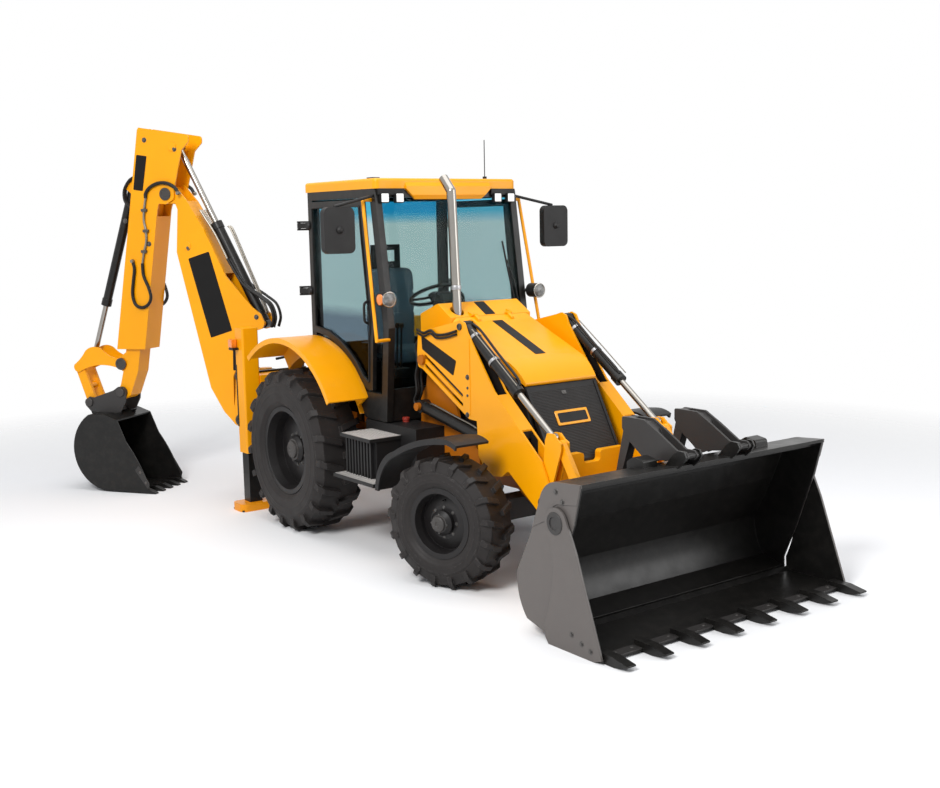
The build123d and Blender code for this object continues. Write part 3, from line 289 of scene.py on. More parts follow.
def makeGlass(name, look):
    # Cab glass with a second tint in a band of height, and a little dusty in patches
    m = Nodes(bpy.data.materials.new(name))
    film = m.ramp(m.noise(2.5, 5), 0.3, 0.8, 0, 0.25)
    tint = m.blend(film, look["clear"], look["film"])
    m.setShader(Base_Color=m.blend(m.ramp(m.place("Z"), *look["band"]), tint, look["second"]),
                Roughness=m.ramp(m.noise(6, 4), 0.3, 0.7, 0.0, 0.03), Transmission_Weight=1, IOR=1.12)
    return m.owner


for glassName, look in glassLooks.items():
    finishes[glassName] = makeGlass(glassName, look)
# The record's slots, each with the finish of its CAD nodes first and then those of new pieces
slotFinishes = {"yellow_paint": ["yellowPaint"], "black_paint": ["blackPaint", "plateBlack"],
                "grey_paint": ["greyPaint", "boltSteel", "stepPlate"], "rim_paint": ["rimPaint", "hubPaint"],
                "chrome": ["chrome", "steel", "pipeSteel", "mirrorGlass"], "tyre_rubber": ["tyreRubber"],
                "dark_plastic": ["darkPlastic", "grilleDark", "hoseRubber", "redCap"], "cast": ["cast"],
                "glass": ["glass", "lampLens", "headGlass", "amberLens", "redLens"], "cloth": ["cloth"]}
ownFinish = {"loader_arms": "armPaintAndPocketShade", "main_frame": "framePaintedShade", "loader_bucket": "bucketPaint",
             "bucket_jaw": "jawPaint", "door_glass_left": "doorGlass", "door_glass_right": "doorGlass",
             "stabiliser_leg_left": "legPaint", "stabiliser_leg_right": "legPaint"}
for part in frame["record"]["subparts"]:
    for slot in nodes[part["node"]].material_slots:
        slot.material = finishes[ownFinish.get(part["node"], slotFinishes[part["material_slot"]][0])]

# The digger's own plane: u runs out from the kingpost, w sideways, v up, turned by its swing
swing = math.radians(215)
postPlace = np.array((-1.36, -0.53, 0))
hoeOut = np.array((math.cos(swing), math.sin(swing), 0))
hoeSide = np.array((-math.sin(swing), math.cos(swing), 0))


def onHoe(places):
    # place(u, w, v) = post + u out + w side + v up
    u, w, v = (np.asarray(places, float)[..., k, None] for k in range(3))
    return postPlace + u * hoeOut + w * hoeSide + v * np.array((0, 0, 1))


def hoeFaces(spots, face):
    # The same spots on both faces of the digger's plane, each with the way that its face looks
    return [(onHoe([(u, sign * face, v) for u, v in spots]), sign * hoeSide) for sign in (1, -1)]


def besideLine(base, tip):
    # place(d, o) = base + d along + o off: points beside the line from base to tip, in its own plane
    base, tip = np.array(base), np.array(tip)
    along = (tip - base) / np.linalg.norm(tip - base)
    off = np.array((-along[1], along[0]))

    def beside(distance, outwards, middle):
        first, last = base + along * distance + off * outwards
        return (first, middle, last)

    return along, beside


def bothSides(grid):
    # The same surface again with y turned to -y
    return np.concatenate([grid, grid * (1, -1, 1)])


def tube(control, radius, sides=10, steps=8):
    # ring(s, t) = C(s) + r (cos t N + sin t B): C is a Catmull-Rom curve through the control points, T its
    # tangent, N the normal of the plane nearest to it, set square to T, and B = T x N
    p = np.asarray(control, float)
    p = np.concatenate([2 * p[:1] - p[1:2], p, 2 * p[-1:] - p[-2:-1]])
    t = np.linspace(0, 1, steps, endpoint=False)[None, :, None]
    weights = (-0.5 * t + t ** 2 - 0.5 * t ** 3, 1 - 2.5 * t ** 2 + 1.5 * t ** 3,
               0.5 * t + 2 * t ** 2 - 1.5 * t ** 3, -0.5 * t ** 2 + 0.5 * t ** 3)
    spans = (p[:-3], p[1:-2], p[2:-1], p[3:])
    curve = sum(w * q[:, None] for w, q in zip(weights, spans)).reshape(-1, 3)
    curve = np.concatenate([curve, p[-2:-1]])
    tangent = np.gradient(curve, axis=0)
    tangent /= np.linalg.norm(tangent, axis=1, keepdims=True)
    flat = np.linalg.svd(curve - curve.mean(0), full_matrices=False)[2][2]
    normal = flat - (tangent @ flat)[:, None] * tangent
    normal /= np.linalg.norm(normal, axis=1, keepdims=True)
    across = np.cross(tangent, normal)
    turn = np.linspace(0, 2 * math.pi, sides, endpoint=False)[None, :, None]
    return (curve[:, None] + radius * (np.cos(turn) * normal[:, None] + np.sin(turn) * across[:, None]))[None]


def turned(profile, places, axis=(0, 1, 0), sides=24):
    # point(s, t) = place + a(s) A + r(s) (cos t E + sin t F) for a profile of pairs (a, r) along the axis A
    a, r = (np.asarray(profile, float)[:, k, None, None] for k in range(2))
    axis = np.array(axis, float) / np.linalg.norm(axis)
    first = np.cross(axis, (0.31, 0.52, 0.8))
    first /= np.linalg.norm(first)
    turn = np.linspace(0, 2 * math.pi, sides, endpoint=False)[None, :, None]
    ring = a * axis + r * (np.cos(turn) * first + np.sin(turn) * np.cross(axis, first))
    return np.atleast_2d(places)[:, None, None] + ring[None]


def rounded(corners, radius, steps=4):
    # Near each corner c the outline runs (1-t)^2 a + 2t(1-t) c + t^2 b, with a and b one radius from it
    c = np.asarray(corners, float)
    before, after = np.roll(c, 1, 0) - c, np.roll(c, -1, 0) - c
    a = c + before * (radius / np.linalg.norm(before, axis=1, keepdims=True))
    b = c + after * (radius / np.linalg.norm(after, axis=1, keepdims=True))
    t = np.linspace(0, 1, steps + 1)[None, :, None]
    return ((1 - t) ** 2 * a[:, None] + 2 * t * (1 - t) * c[:, None] + t ** 2 * b[:, None]).reshape(-1, 2)


def rectangle(x0, z0, x1, z1, radius, steps=4):
    # Outline of a rectangle between two corners, rounded
    return rounded([(x0, z0), (x1, z0), (x1, z1), (x0, z1)], radius, steps)


def slab(outline, low, high, edge=0.001, origin=(0, 0, 0), along=(1, 0, 0), up=(0, 0, 1), out=(0, 1, 0)):
    # point(s, t) = origin + x(t) along + z(t) up + d(s) out, drawn in by the edge at both faces
    p = np.asarray(outline, float)
    centre = p.mean(0)
    reach = np.linalg.norm(p - centre, axis=1, keepdims=True)
    drawnIn = centre + (p - centre) * (1 - edge / reach)
    rings = []
    for shape, depth in ((drawnIn, low), (p, low + edge), (p, high - edge), (drawnIn, high)):
        rings.append(np.array(origin) + shape[:, :1] * np.array(along) + shape[:, 1:] * np.array(up)
                     + depth * np.array(out))
    return np.array(rings)[None]


def box(low, high, edge=0.002):
    # Block between two corners with its side edges drawn in
    (x0, y0, z0), (x1, y1, z1) = low, high
    return slab(rectangle(x0, z0, x1, z1, min(x1 - x0, z1 - z0) * 0.12, 2), y0, y1, edge)


# Planes for slabs: the digger's own, one that faces forwards and one that faces up
hoePlane = {"origin": postPlace, "along": hoeOut, "out": hoeSide}
facingFront = {"along": (0, 1, 0), "out": (1, 0, 0)}
facingUp = {"up": (0, 1, 0), "out": (0, 0, 1)}


def hoeSlabs(outline, low, high, edge=0.001):
    # The same slab on both faces of the digger's plane
    return [slab(outline, *sorted((sign * low, sign * high)), edge, **hoePlane) for sign in (1, -1)]


def bolts(places, axis, size=1.0):
    # Washer and hexagon head, as two turned profiles
    s = size
    washer = [(-0.003, 0), (-0.003, 0.019 * s), (0.002, 0.019 * s), (0.003, 0.018 * s), (0.003, 0)]
    head = [(0.002, 0), (0.002, 0.0125 * s), (0.010 * s, 0.0125 * s), (0.0115 * s, 0.0105 * s),
            (0.0115 * s, 0)]
    return [turned(washer, places, axis, 16), turned(head, places, axis, 6)]


def addPiece(name, grids, finish, body="chassis", sharpAngle=32):
    # Each grid holds copies of one surface (copy, ring, step, xyz), closed round its rings and capped at the
    # ends, or closed on itself where its last ring is its first
    points, faces, start = [], [], 0
    for grid in grids:
        copies, rings, steps = grid.shape[:3]
        ring, step = np.meshgrid(np.arange(rings - 1), np.arange(steps), indexing="ij")
        here, there = ring * steps + step, ring * steps + (step + 1) % steps
        quads = np.stack([here, there, there + steps, here + steps], -1).reshape(-1, 4)
        offsets = (start + np.arange(copies) * rings * steps)[:, None, None]
        faces += (offsets + quads).reshape(-1, 4).tolist()
        if not np.allclose(grid[0, 0], grid[0, -1]):
            caps = np.stack([np.arange(steps)[::-1], np.arange(steps) + (rings - 1) * steps])
            faces += (offsets + caps).reshape(-1, steps).tolist()
        points.append(grid.reshape(-1, 3))
        start += copies * rings * steps
    mesh = bpy.data.meshes.new(name)
    mesh.from_pydata((np.concatenate(points) + shift).tolist(), [], faces)
    tidy = bmesh.new()
    tidy.from_mesh(mesh)
    bmesh.ops.remove_doubles(tidy, verts=tidy.verts, dist=1e-6)
    bmesh.ops.dissolve_degenerate(tidy, edges=tidy.edges, dist=1e-6)
    bmesh.ops.recalc_face_normals(tidy, faces=tidy.faces)
    tidy.to_mesh(mesh)
    tidy.free()
    mesh.shade_smooth()
    mesh.set_sharp_from_angle(angle=math.radians(sharpAngle))
    mesh.materials.append(finishes[finish])
    piece = bpy.data.objects.new(name, mesh)
    bpy.context.collection.objects.link(piece)
    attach(piece, body)
    return piece


def addPair(name, grids, finish, body="chassis", sharpAngle=32):
    # A piece with each of its surfaces on both sides of the machine
    return addPiece(name, [bothSides(grid) for grid in grids], finish, body, sharpAngle)


def addTubes(name, paths, radius, finish, body):
    addPiece(name, [tube(path, radius) for path in paths], finish, body)


# Hood and cowl: a black stripe down the middle, laid on each slope
stripe = {"half": 0.050, "hoodFrom": (1.648, 1.8468), "hoodTo": (2.185, 1.6222), "cowlFrom": (1.408, 1.9855),
          "cowlTo": (1.566, 1.8929), "thick": 0.0025}


def stripePiece(name, start, end, body):
    start, end = np.array(start), np.array(end)
    length = float(np.linalg.norm(end - start))
    along = (end - start) / length
    outline = rectangle(0, -stripe["half"], length, stripe["half"], 0.006, 2)
    grid = slab(outline, -0.001, stripe["thick"], 0.001, (start[0], 0, start[1]),
                (along[0], 0, along[1]), (0, 1, 0), (-along[1], 0, along[0]))
    addPiece(name, [grid], "plateBlack", body)


stripePiece("hoodStripe", stripe["hoodFrom"], stripe["hoodTo"], "hood_lid")
stripePiece("cowlStripe", stripe["cowlFrom"], stripe["cowlTo"], "chassis")

# Grille: ribs across a dark sloping face, a bare plate in a yellow frame, and a small latch
grille = {"top": (2.412, 1.419), "low": (2.702, 0.890), "half": 0.318, "ribFrom": 0.045, "ribGap": 0.0115,
          "ribs": 47, "plateAt": 0.215, "plateHalf": 0.158, "plateHigh": 0.115, "latchAt": 0.075,
          "edgeAt": 0.331}
grilleTop = np.array((grille["top"][0], 0, grille["top"][1]))
grilleDown = np.array((grille["low"][0], 0, grille["low"][1])) - grilleTop
grilleDown /= np.linalg.norm(grilleDown)
grilleOut = np.array((-grilleDown[2], 0, grilleDown[0]))
onGrille = {"origin": tuple(grilleTop), "along": tuple(grilleDown), "up": (0, 1, 0), "out": tuple(grilleOut)}


def grillePieces():
    rib = np.array([(0, 0), (0.0035, 0.0022), (0.007, 0)])
    half = grille["half"]
    starts = grille["ribFrom"] + grille["ribGap"] * np.arange(grille["ribs"])
    # rib(s, t) = top + (start + x(t)) down + (d(t)) out, from one side to the other
    profile = grilleTop + rib[:, :1] * grilleDown + rib[:, 1:] * grilleOut
    ends = profile[None] + np.array([(0, -half, 0), (0, half, 0)])[:, None]
    ribs = ends[None] + starts[:, None, None, None] * grilleDown
    addPiece("grilleRibs", [ribs], "grilleDark", sharpAngle=20)
    at, plateHalf, high = grille["plateAt"], grille["plateHalf"], grille["plateHigh"]

    def plate(grow, low, top):
        wide = plateHalf + grow
        outline = rectangle(at - grow, -wide, at + high + grow, wide, 0.012)
        return slab(outline, low, top, 0.0015, **onGrille)

    addPiece("badgeFrame", [plate(0, 0, 0.0075)], "yellowPaint")
    addPiece("badgePlate", [plate(-0.019, 0.004, 0.0088)], "plateBlack")
    spot = grille["latchAt"]
    latch = rectangle(spot - 0.014, -0.02, spot + 0.014, 0.02, 0.006)
    addPiece("grilleLatch", [slab(latch, 0, 0.006, 0.0015, **onGrille),
                             turned([(0.004, 0), (0.004, 0.009), (0.009, 0.008), (0.009, 0)],
                                    grilleTop + spot * grilleDown, tuple(grilleOut), 16)], "boltSteel")
    # a strip down each side edge
    strips = [rectangle(0.012, edge - 0.011, 0.59, edge + 0.011, 0.005, 2)
              for edge in (-grille["edgeAt"], grille["edgeAt"])]
    addPiece("grilleEdges", [slab(strip, -0.001, 0.008, 0.002, **onGrille) for strip in strips],
             "darkPlastic")


grillePieces()

# Loader arms: bare black plates, bolt heads, pin ends, hoses over the rear top and in loops behind
armFace = 0.560
armParts = {"plate": [(1.400, 1.752), (1.861, 1.586), (1.820, 1.470), (1.408, 1.644)],
            "bolts": [(2.001, 1.475), (1.992, 1.190)],
            "smallBolts": [(1.384, 1.546), (1.999, 1.394), (1.997, 1.336)],
            "seam": (2.026, 1.185, 2.034, 1.765),
            "overTop": [(1.36, 1.795), (1.45, 1.775), (1.545, 1.80), (1.625, 1.772), (1.745, 1.782),
                        (1.885, 1.815)],
            "behind": [(1.40, 1.655), (1.335, 1.70), (1.302, 1.64), (1.322, 1.53), (1.290, 1.42),
                       (1.300, 1.30), (1.262, 1.22), (1.300, 1.165)]}


def armPieces():
    plate = slab(rounded(armParts["plate"], 0.012), armFace - 0.001, armFace + 0.0025)
    addPair("armPlates", [plate], "plateBlack", "arms")
    heads = []
    for key, size in (("bolts", 1.1), ("smallBolts", 0.6)):
        heads += bolts([(x, armFace, z) for x, z in armParts[key]], (0, 1, 0), size)
    addPair("armBolts", heads, "boltSteel", "arms")
    left, low, right, top = armParts["seam"]
    seam = [(left, top), (left, low), (right, low), (right, top)]
    addPair("armSeams", [slab(seam, armFace - 0.001, armFace + 0.004, 0.002)], "yellowPaint", "arms")
    # pin ends, each a dished cap
    cap = [(-0.004, 0), (-0.004, 0.052), (0.009, 0.052), (0.012, 0.048), (0.012, 0.034), (0.006, 0.031),
           (0.006, 0)]
    small = [(a, r * 0.5) for a, r in cap]
    addPair("armPins", [turned(small, (1.915, armFace, 1.848)), turned(cap, (2.870, armFace, 0.660))],
            "hubPaint", "arms")
    over = [(x, armFace + 0.012, z) for x, z in armParts["overTop"]]
    addPair("armHoses", [tube(over, 0.010), tube([(x, y, z - 0.026) for x, y, z in over], 0.008)],
            "hoseRubber", "arms")
    behind = [[(x - back, y, z) for x, z in armParts["behind"]] for y, back in
              ((0.548, 0), (0.522, 0.012), (0.496, 0.004))]
    addPair("armLoops", [tube(path, 0.011) for path in behind], "hoseRubber")


armPieces()

# Loader rams: hoses and a light level rod along each tilt ram, and feed pipes along the lift rams
ramParts = {"tilt": ((1.915, 1.848), (2.920, 1.126)), "lift": ((1.320, 1.176), (2.190, 1.000)),
            "rod": ((0.10, 0.055), (0.42, 0.060), (0.745, 0.060)), "rodY": 0.532,
            "hose": ((0.03, 0.045, 0.475), (0.14, 0.066, 0.475), (0.40, 0.060, 0.475), (0.66, 0.062, 0.478),
                     (0.73, 0.046, 0.485)),
            "bandsAt": (0.14, 0.42, 0.72), "bandY": 0.5,
            "pipe": ((0.10, 0.049, 0.508), (0.16, 0.062, 0.515), (0.45, 0.062, 0.515), (0.66, 0.062, 0.512),
                     (0.72, 0.049, 0.505))}


def ramPieces():
    along, beside = besideLine(*ramParts["tilt"])
    rod = [beside(d, o, ramParts["rodY"]) for d, o in ramParts["rod"]]
    addPair("levelRods", [tube(rod, 0.0045)], "pipeSteel", "tilt_ram_barrels")
    addPair("tiltHoses", [tube([beside(*spot) for spot in ramParts["hose"]], 0.010)], "hoseRubber",
            "tilt_ram_barrels")
    bands = [(-0.012, 0.0425), (-0.012, 0.0475), (0.012, 0.0475), (0.012, 0.0425), (-0.012, 0.0425)]
    where = [beside(d, 0, ramParts["bandY"]) for d in ramParts["bandsAt"]]
    addPair("tiltBands", [turned(bands, where, (along[0], 0, along[1]))], "steel", "tilt_ram_barrels")
    along, beside = besideLine(*ramParts["lift"])
    addPair("liftPipes", [tube([beside(*spot) for spot in ramParts["pipe"]], 0.008)], "pipeSteel",
            "lift_ram_barrels")


ramPieces()

# Front bucket: bolts and hubs on the side plates, and plain strips with bolts between the teeth
bucketParts = {"backBolts": [(3.70, 0.98), (3.76, 0.925)],
               "jawBolts": [(3.86, 0.12), (3.95, 0.085), (4.03, 0.06)],
               "edge": (4.045, 4.128), "gaps": 7, "teethSpan": 2.216, "gapHalf": 0.112}


def bucketPieces():
    for name, key, y, size, body in (("bucketBolts", "backBolts", 1.155, 1.0, "front_bucket"),
                                     ("jawBolts", "jawBolts", 1.175, 0.9, "jaw")):
        addPair(name, bolts([(x, y, z) for x, z in bucketParts[key]], (0, 1, 0), size), "boltSteel", body)
    # hub of the clam's pivot
    hub = [(-0.003, 0), (-0.003, 0.072), (0.006, 0.072), (0.010, 0.066), (0.010, 0.043), (-0.001, 0.0425),
           (0.004, 0.0425), (0.004, 0)]
    addPair("clamHubs", [turned(hub, (3.708, 1.172, 0.785))], "greyPaint", "jaw")
    low, high = bucketParts["edge"]
    half, span, gaps = bucketParts["gapHalf"], bucketParts["teethSpan"], bucketParts["gaps"]
    # between the teeth a plain strip on top of the lip
    spots = -span / 2 + span / gaps * np.arange(gaps) + 0.158
    pieces = [slab(rectangle(low, y - half, high, y + half, 0.006, 2), 0.0265, 0.0335, **facingUp)
              for y in spots]
    addPiece("cuttingEdge", pieces, "greyPaint", "jaw")
    studs = [(4.075, y + dy, 0.0335) for y in spots for dy in (-0.07, 0.07)]
    stud = [(-0.002, 0), (-0.002, 0.013), (0.003, 0.011), (0.005, 0)]
    addPiece("edgeBolts", [turned(stud, studs, (0, 0, 1), 10)], "boltSteel", "jaw")


bucketPieces()
print("loader pieces made")

# Wheels: rounded side walls with rings, hub caps and rings of bolts
steer = math.radians(18)
wheels = []
for side, name in ((-1, "right"), (1, "left")):
    wheels.append(("rear", name, (0, side * 0.88, 0.70), (0, side, 0)))
    wheels.append(("front", name, (2.17 - side * 0.19 * math.sin(steer),
                                   side * (0.73 + 0.19 * math.cos(steer)), 0.482),
                   (-side * math.sin(steer), side * math.cos(steer), 0)))
wheelParts = {"rear": {"rim": 0.355, "half": 0.215, "floor": 0.666, "disc": 0.060, "hub": 0.100,
                       "hubRadius": 0.120,
                       "boltRing": 0.137, "bolts": 10, "boltSize": 0.85, "capRadius": 0.075},
              "front": {"rim": 0.235, "half": 0.155, "floor": 0.456, "disc": 0.066, "hub": 0.128,
                        "hubRadius": 0.092,
                        "boltRing": 0.108, "bolts": 8, "boltSize": 0.7, "capRadius": 0.055}}


def wheelPieces(kind, name, centre, out):
    s = wheelParts[kind]
    body = f"{kind}_wheel_{name}"
    centre, out = np.array(centre), np.array(out)
    # side wall: a(t) follows the tyre's side with a low bulge and narrow rings, r(t) runs from rim to tread
    r = np.linspace(s["rim"] + 0.012, s["floor"] - 0.080, 40)
    a = np.interp(r, [s["rim"], s["rim"] + 0.07, s["floor"]],
                  [0.69 * s["half"], 0.97 * s["half"], 0.97 * s["half"]])
    t = (r - r[0]) / (r[-1] - r[0])
    rings = sum(0.003 * np.exp(-((t - spot) / 0.022) ** 2) for spot in (0.14, 0.24, 0.62, 0.9))
    a = a + 0.0015 + 0.0035 * np.sin(math.pi * t) + rings
    back = np.stack([a[::-1] - 0.02, r[::-1]], -1)[[0, -1]]
    for sign, end in ((1, "Outer"), (-1, "Inner")):
        profile = np.concatenate([np.stack([a, r], -1), back, [[a[0], r[0]]]])
        wall = turned(profile, centre, sign * out, 72)
        addPiece(f"{kind}Wall{end}_{name}", [wall], "tyreRubber", body, 50)
    turn = 2 * math.pi * np.arange(s["bolts"]) / s["bolts"]
    up, flat = np.array((0, 0, 1)), np.cross(out, (0, 0, 1))
    around = np.cos(turn)[:, None] * up + np.sin(turn)[:, None] * flat
    ring = centre + s["boltRing"] * around + s["disc"] * out
    addPiece(f"{kind}WheelBolts_{name}", bolts(ring, out, s["boltSize"]), "boltSteel", body)
    cap, hub, reach = s["capRadius"], s["hub"], s["hubRadius"]
    disc = [(hub - 0.002, 0), (hub - 0.002, reach - 0.027), (hub + 0.004, reach - 0.028),
            (hub + 0.006, cap + 0.004), (hub + 0.022, cap), (hub + 0.030, cap - 0.012), (hub + 0.032, 0.018),
            (hub + 0.027, 0.014), (hub + 0.027, 0)]
    addPiece(f"{kind}HubCap_{name}", [turned(disc, centre, out, 40)], "hubPaint", body)
    small = (centre + (cap + 0.012) * around)[::2] + (hub + 0.003) * out
    addPiece(f"{kind}CapBolts_{name}", bolts(small, out, 0.4), "boltSteel", body)
    # valve stem on the disc
    valve = centre + (s["rim"] - 0.075) * up + (s["disc"] - 0.02) * out
    stem = [(0, 0), (0, 0.008), (0.02, 0.007), (0.022, 0.0045), (0.045, 0.0045), (0.046, 0)]
    addPiece(f"{kind}Valve_{name}", [turned(stem, valve, out, 10)], "hoseRubber", body)


for wheel in wheels:
    wheelPieces(*wheel)
print("wheel pieces made")

# Digger: bare plates, bolts, pin ends, hoses and pipes
hoeParts = {
    "plates": (("boomPlates", ("boomPlate", "smallPlate"), 0.105, "boom_body"),
               ("dipperPlates", ("dipperPlate",), 0.128, "dipper_body")),
    "bolts": (("boomBolts", 0.105, "boom_body"), ("dipperBolts", 0.128, "dipper_body")),
    "boomPlate": [(0.735, 2.325), (0.505, 2.392), (0.290, 1.628), (0.526, 1.555)],
    "smallPlate": [(0.288, 1.520), (0.238, 1.524), (0.250, 1.240), (0.298, 1.238)],
    "dipperPlate": [(1.240, 3.335), (1.125, 3.318), (1.190, 2.985), (1.296, 3.000)],
    "boomBolts": [(0.731, 2.428), (0.02, 1.76)],
    "dipperBolts": [(1.143, 3.472), (0.815, 3.374), (1.410, 2.70), (1.152, 2.472)],
    "pins": (("dipperPin", "boom_body", 0.134, [(0.940, 2.950)]),
             ("footPins", "post", 0.160, [(0.205, 0.760), (0.190, 1.190)]),
             ("leverPins", "dipper_slide", 0.107, [(1.574, 1.277)])),
    "arc": [(1.153, 2.915), (1.146, 2.965), (1.092, 3.020), (1.000, 3.055), (0.905, 3.052), (0.823, 3.010),
            (0.785, 2.955)],
    "pipe": [(1.153, 2.920), (1.177, 2.804), (1.187, 2.696), (1.171, 2.601), (1.174, 2.492), (1.204, 2.396),
             (1.230, 2.280)],
    "loop": [(1.230, 2.285), (1.223, 2.163), (1.172, 2.038), (1.155, 1.942), (1.198, 1.873), (1.272, 1.850),
             (1.338, 1.886), (1.362, 1.983), (1.345, 2.108), (1.325, 2.226), (1.340, 2.306)],
    "sideRuns": (("dipperArc", "arc", 0.146, 0.017, "hoseRubber"),
                 ("dipperPipe", "pipe", 0.142, 0.012, "pipeSteel"),
             ("dipperLoop", "loop", 0.146, 0.016, "hoseRubber")),
    "clips": [(1.178, 2.80), (1.171, 2.60), (1.204, 2.40)], "fittings": [(1.340, 2.306), (0.785, 2.955)],
    "ram": ((-0.018, 1.694), (0.719, 3.400)),
    "ramPipe": ((0.08, 0.052), (0.14, 0.068), (0.55, 0.068), (0.93, 0.068), (1.00, 0.052)),
    "back": [(1.30, 3.13), (1.37, 3.09), (1.43, 3.00), (1.43, 2.90), (1.38, 2.84), (1.335, 2.80)]}


def hoePieces():
    for name, keys, face, body in hoeParts["plates"]:
        outlines = [rounded(hoeParts[key], 0.012) for key in keys]
        grids = [grid for outline in outlines for grid in hoeSlabs(outline, face - 0.001, face + 0.0025)]
        addPiece(name, grids, "plateBlack", body)
    for name, face, body in hoeParts["bolts"]:
        grids = [grid for at in hoeFaces(hoeParts[name], face) for grid in bolts(*at, 1.3)]
        addPiece(name, grids, "boltSteel", body)
    cap = [(-0.003, 0), (-0.003, 0.060), (0.006, 0.060), (0.009, 0.056), (0.009, 0.038), (0.004, 0.035),
           (0.004, 0)]
    for name, body, face, spots in hoeParts["pins"]:
        addPiece(name, [turned(cap, *at) for at in hoeFaces(spots, face)], "hubPaint", body)
    # hose arc over the pivot, steel pipe down the side and the loop to the sliding part
    for name, key, face, radius, finish in hoeParts["sideRuns"]:
        side = [onHoe([(u, w, v) for u, v in hoeParts[key]]) for w in (face, -face)]
        addTubes(name, side, radius, finish, "dipper_body")
    clips = [rectangle(u - 0.03, v - 0.014, u + 0.03, v + 0.014, 0.006, 2) for u, v in hoeParts["clips"]]
    grids = [grid for outline in clips for grid in hoeSlabs(outline, 0.127, 0.158, 0.003)]
    addPiece("pipeClips", grids, "boltSteel", "dipper_body")
    fit = [(0, 0), (0, 0.016), (0.012, 0.020), (0.03, 0.020), (0.042, 0.016), (0.042, 0)]
    grids = [turned(fit, *at, 12) for spot in hoeParts["fittings"] for at in hoeFaces([spot], 0.127)]
    addPiece("hoseFittings", grids, "pipeSteel", "dipper_body")
    # pipes between the plates at the boom's head, and hoses down to its foot
    head = [onHoe([(0.315, w, 2.2875), (0.445, w, 2.545), (0.555, w, 2.715), (0.605, w, 2.79)])
            for w in (0.062, 0.03, -0.03, -0.062)]
    addTubes("boomPipes", head, 0.011, "pipeSteel", "boom_body")
    foot = [onHoe([(0.355 - gap, w, 2.32), (0.20 - gap, w, 2.08), (0.03 - gap, w, 1.96),
                   (-0.075 - gap, w, 1.88), (-0.115 - gap, w, 1.76), (-0.09 - gap, w, 1.66)])
            for gap, w in ((0.03, 0.075), (0.045, 0.05), (0.03, -0.075), (0.045, -0.05))]
    addTubes("boomHoses", foot, 0.013, "hoseRubber", "boom_body")
    # pipes along the dipper ram, and hoses behind the dipper's back
    beside = besideLine(*hoeParts["ram"])[1]
    run = [onHoe([beside(d, o, w) for d, o in hoeParts["ramPipe"]]) for w in (0.02, -0.02)]
    addTubes("dipperRamPipes", run, 0.009, "pipeSteel", "dipper_ram_barrel")
    back = [onHoe([(u, w, v) for u, v in hoeParts["back"]]) for w in (0.09, 0.055, -0.055, -0.09)]
    addTubes("dipperBackHoses", back, 0.012, "hoseRubber", "dipper_body")


hoePieces()
print("digger pieces made")

# What the cab interior becomes: a console with its instrument hood, a steering wheel and the seat's frame
interior = {"foot": [(0.82, 1.07), (1.03, 1.07), (1.03, 1.31), (1.055, 1.76), (0.98, 1.82), (0.90, 1.70),
                     (0.90, 1.30), (0.82, 1.20)], "footHalf": 0.24,
            "hood": [(0.935, 1.76), (1.045, 1.74), (1.055, 1.93), (1.02, 2.045), (0.965, 2.06),
                     (0.915, 1.96)],
            "hoodFrom": -0.105, "hoodTo": 0.145, "wheelAt": (0.80, -0.02, 2.02), "lean": (-0.45, 0, 0.89),
            "wheelRadius": 0.200, "gripRadius": 0.0155, "columnFrom": (0.93, -0.02, 1.72),
            "frames": (((0.15, -0.23, 1.070), (0.60, 0.23, 1.43), 0.01),
                       ((0.019, -0.20, 1.40), (0.16, 0.20, 1.43)),
                       ((0.019, -0.20, 1.43), (0.039, 0.20, 2.20)),
                       ((0.019, -0.15, 2.195), (0.039, 0.15, 2.29)),
                       ((0.019, -0.15, 2.285), (0.039, -0.10, 2.40)),
                       ((0.019, 0.10, 2.285), (0.039, 0.15, 2.40)),
                       ((0.019, -0.15, 2.39), (0.039, 0.15, 2.44)))}


def interiorPieces():
    foot, hood = (rounded(interior[key], 0.02, 3) for key in ("foot", "hood"))
    console = addPiece("cabConsole", [slab(foot, -interior["footHalf"], interior["footHalf"], 0.012),
                                      slab(hood, interior["hoodFrom"], interior["hoodTo"], 0.02)],
                       "darkPlastic")
    centre = np.array(interior["wheelAt"])
    lean = np.array(interior["lean"]) / np.linalg.norm(interior["lean"])
    radius, grip = interior["wheelRadius"], interior["gripRadius"]
    turn = np.linspace(0, 2 * math.pi, 13)
    hub = [(-0.05, 0), (-0.05, 0.034), (-0.01, 0.046), (0.010, 0.044), (0.018, 0.030), (0.018, 0)]
    across = np.cross(lean, (0, 1, 0))
    spokes = [centre + radius * (c * across + s * np.array((0, 1, 0)))
              for c, s in ((-1, 0), (0.42, 0.907), (0.42, -0.907))]
    grids = [turned(np.stack([grip * np.sin(turn), radius + grip * np.cos(turn)], -1), centre, lean, 48),
             turned(hub, centre, lean)]
    grids += [tube([centre - 0.012 * lean, 0.5 * (centre + end) - 0.012 * lean, end], 0.011)
              for end in spokes]
    base = np.array(interior["columnFrom"])
    grids.append(tube([base, 0.5 * (base + centre), centre - 0.03 * lean], 0.028))
    wheel = addPiece("steeringWheel", grids, "darkPlastic")
    seat = addPiece("seatFrame", [box(*frame) for frame in interior["frames"]], "darkPlastic")
    for piece in (console, wheel, seat):
        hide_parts("cab_interior")


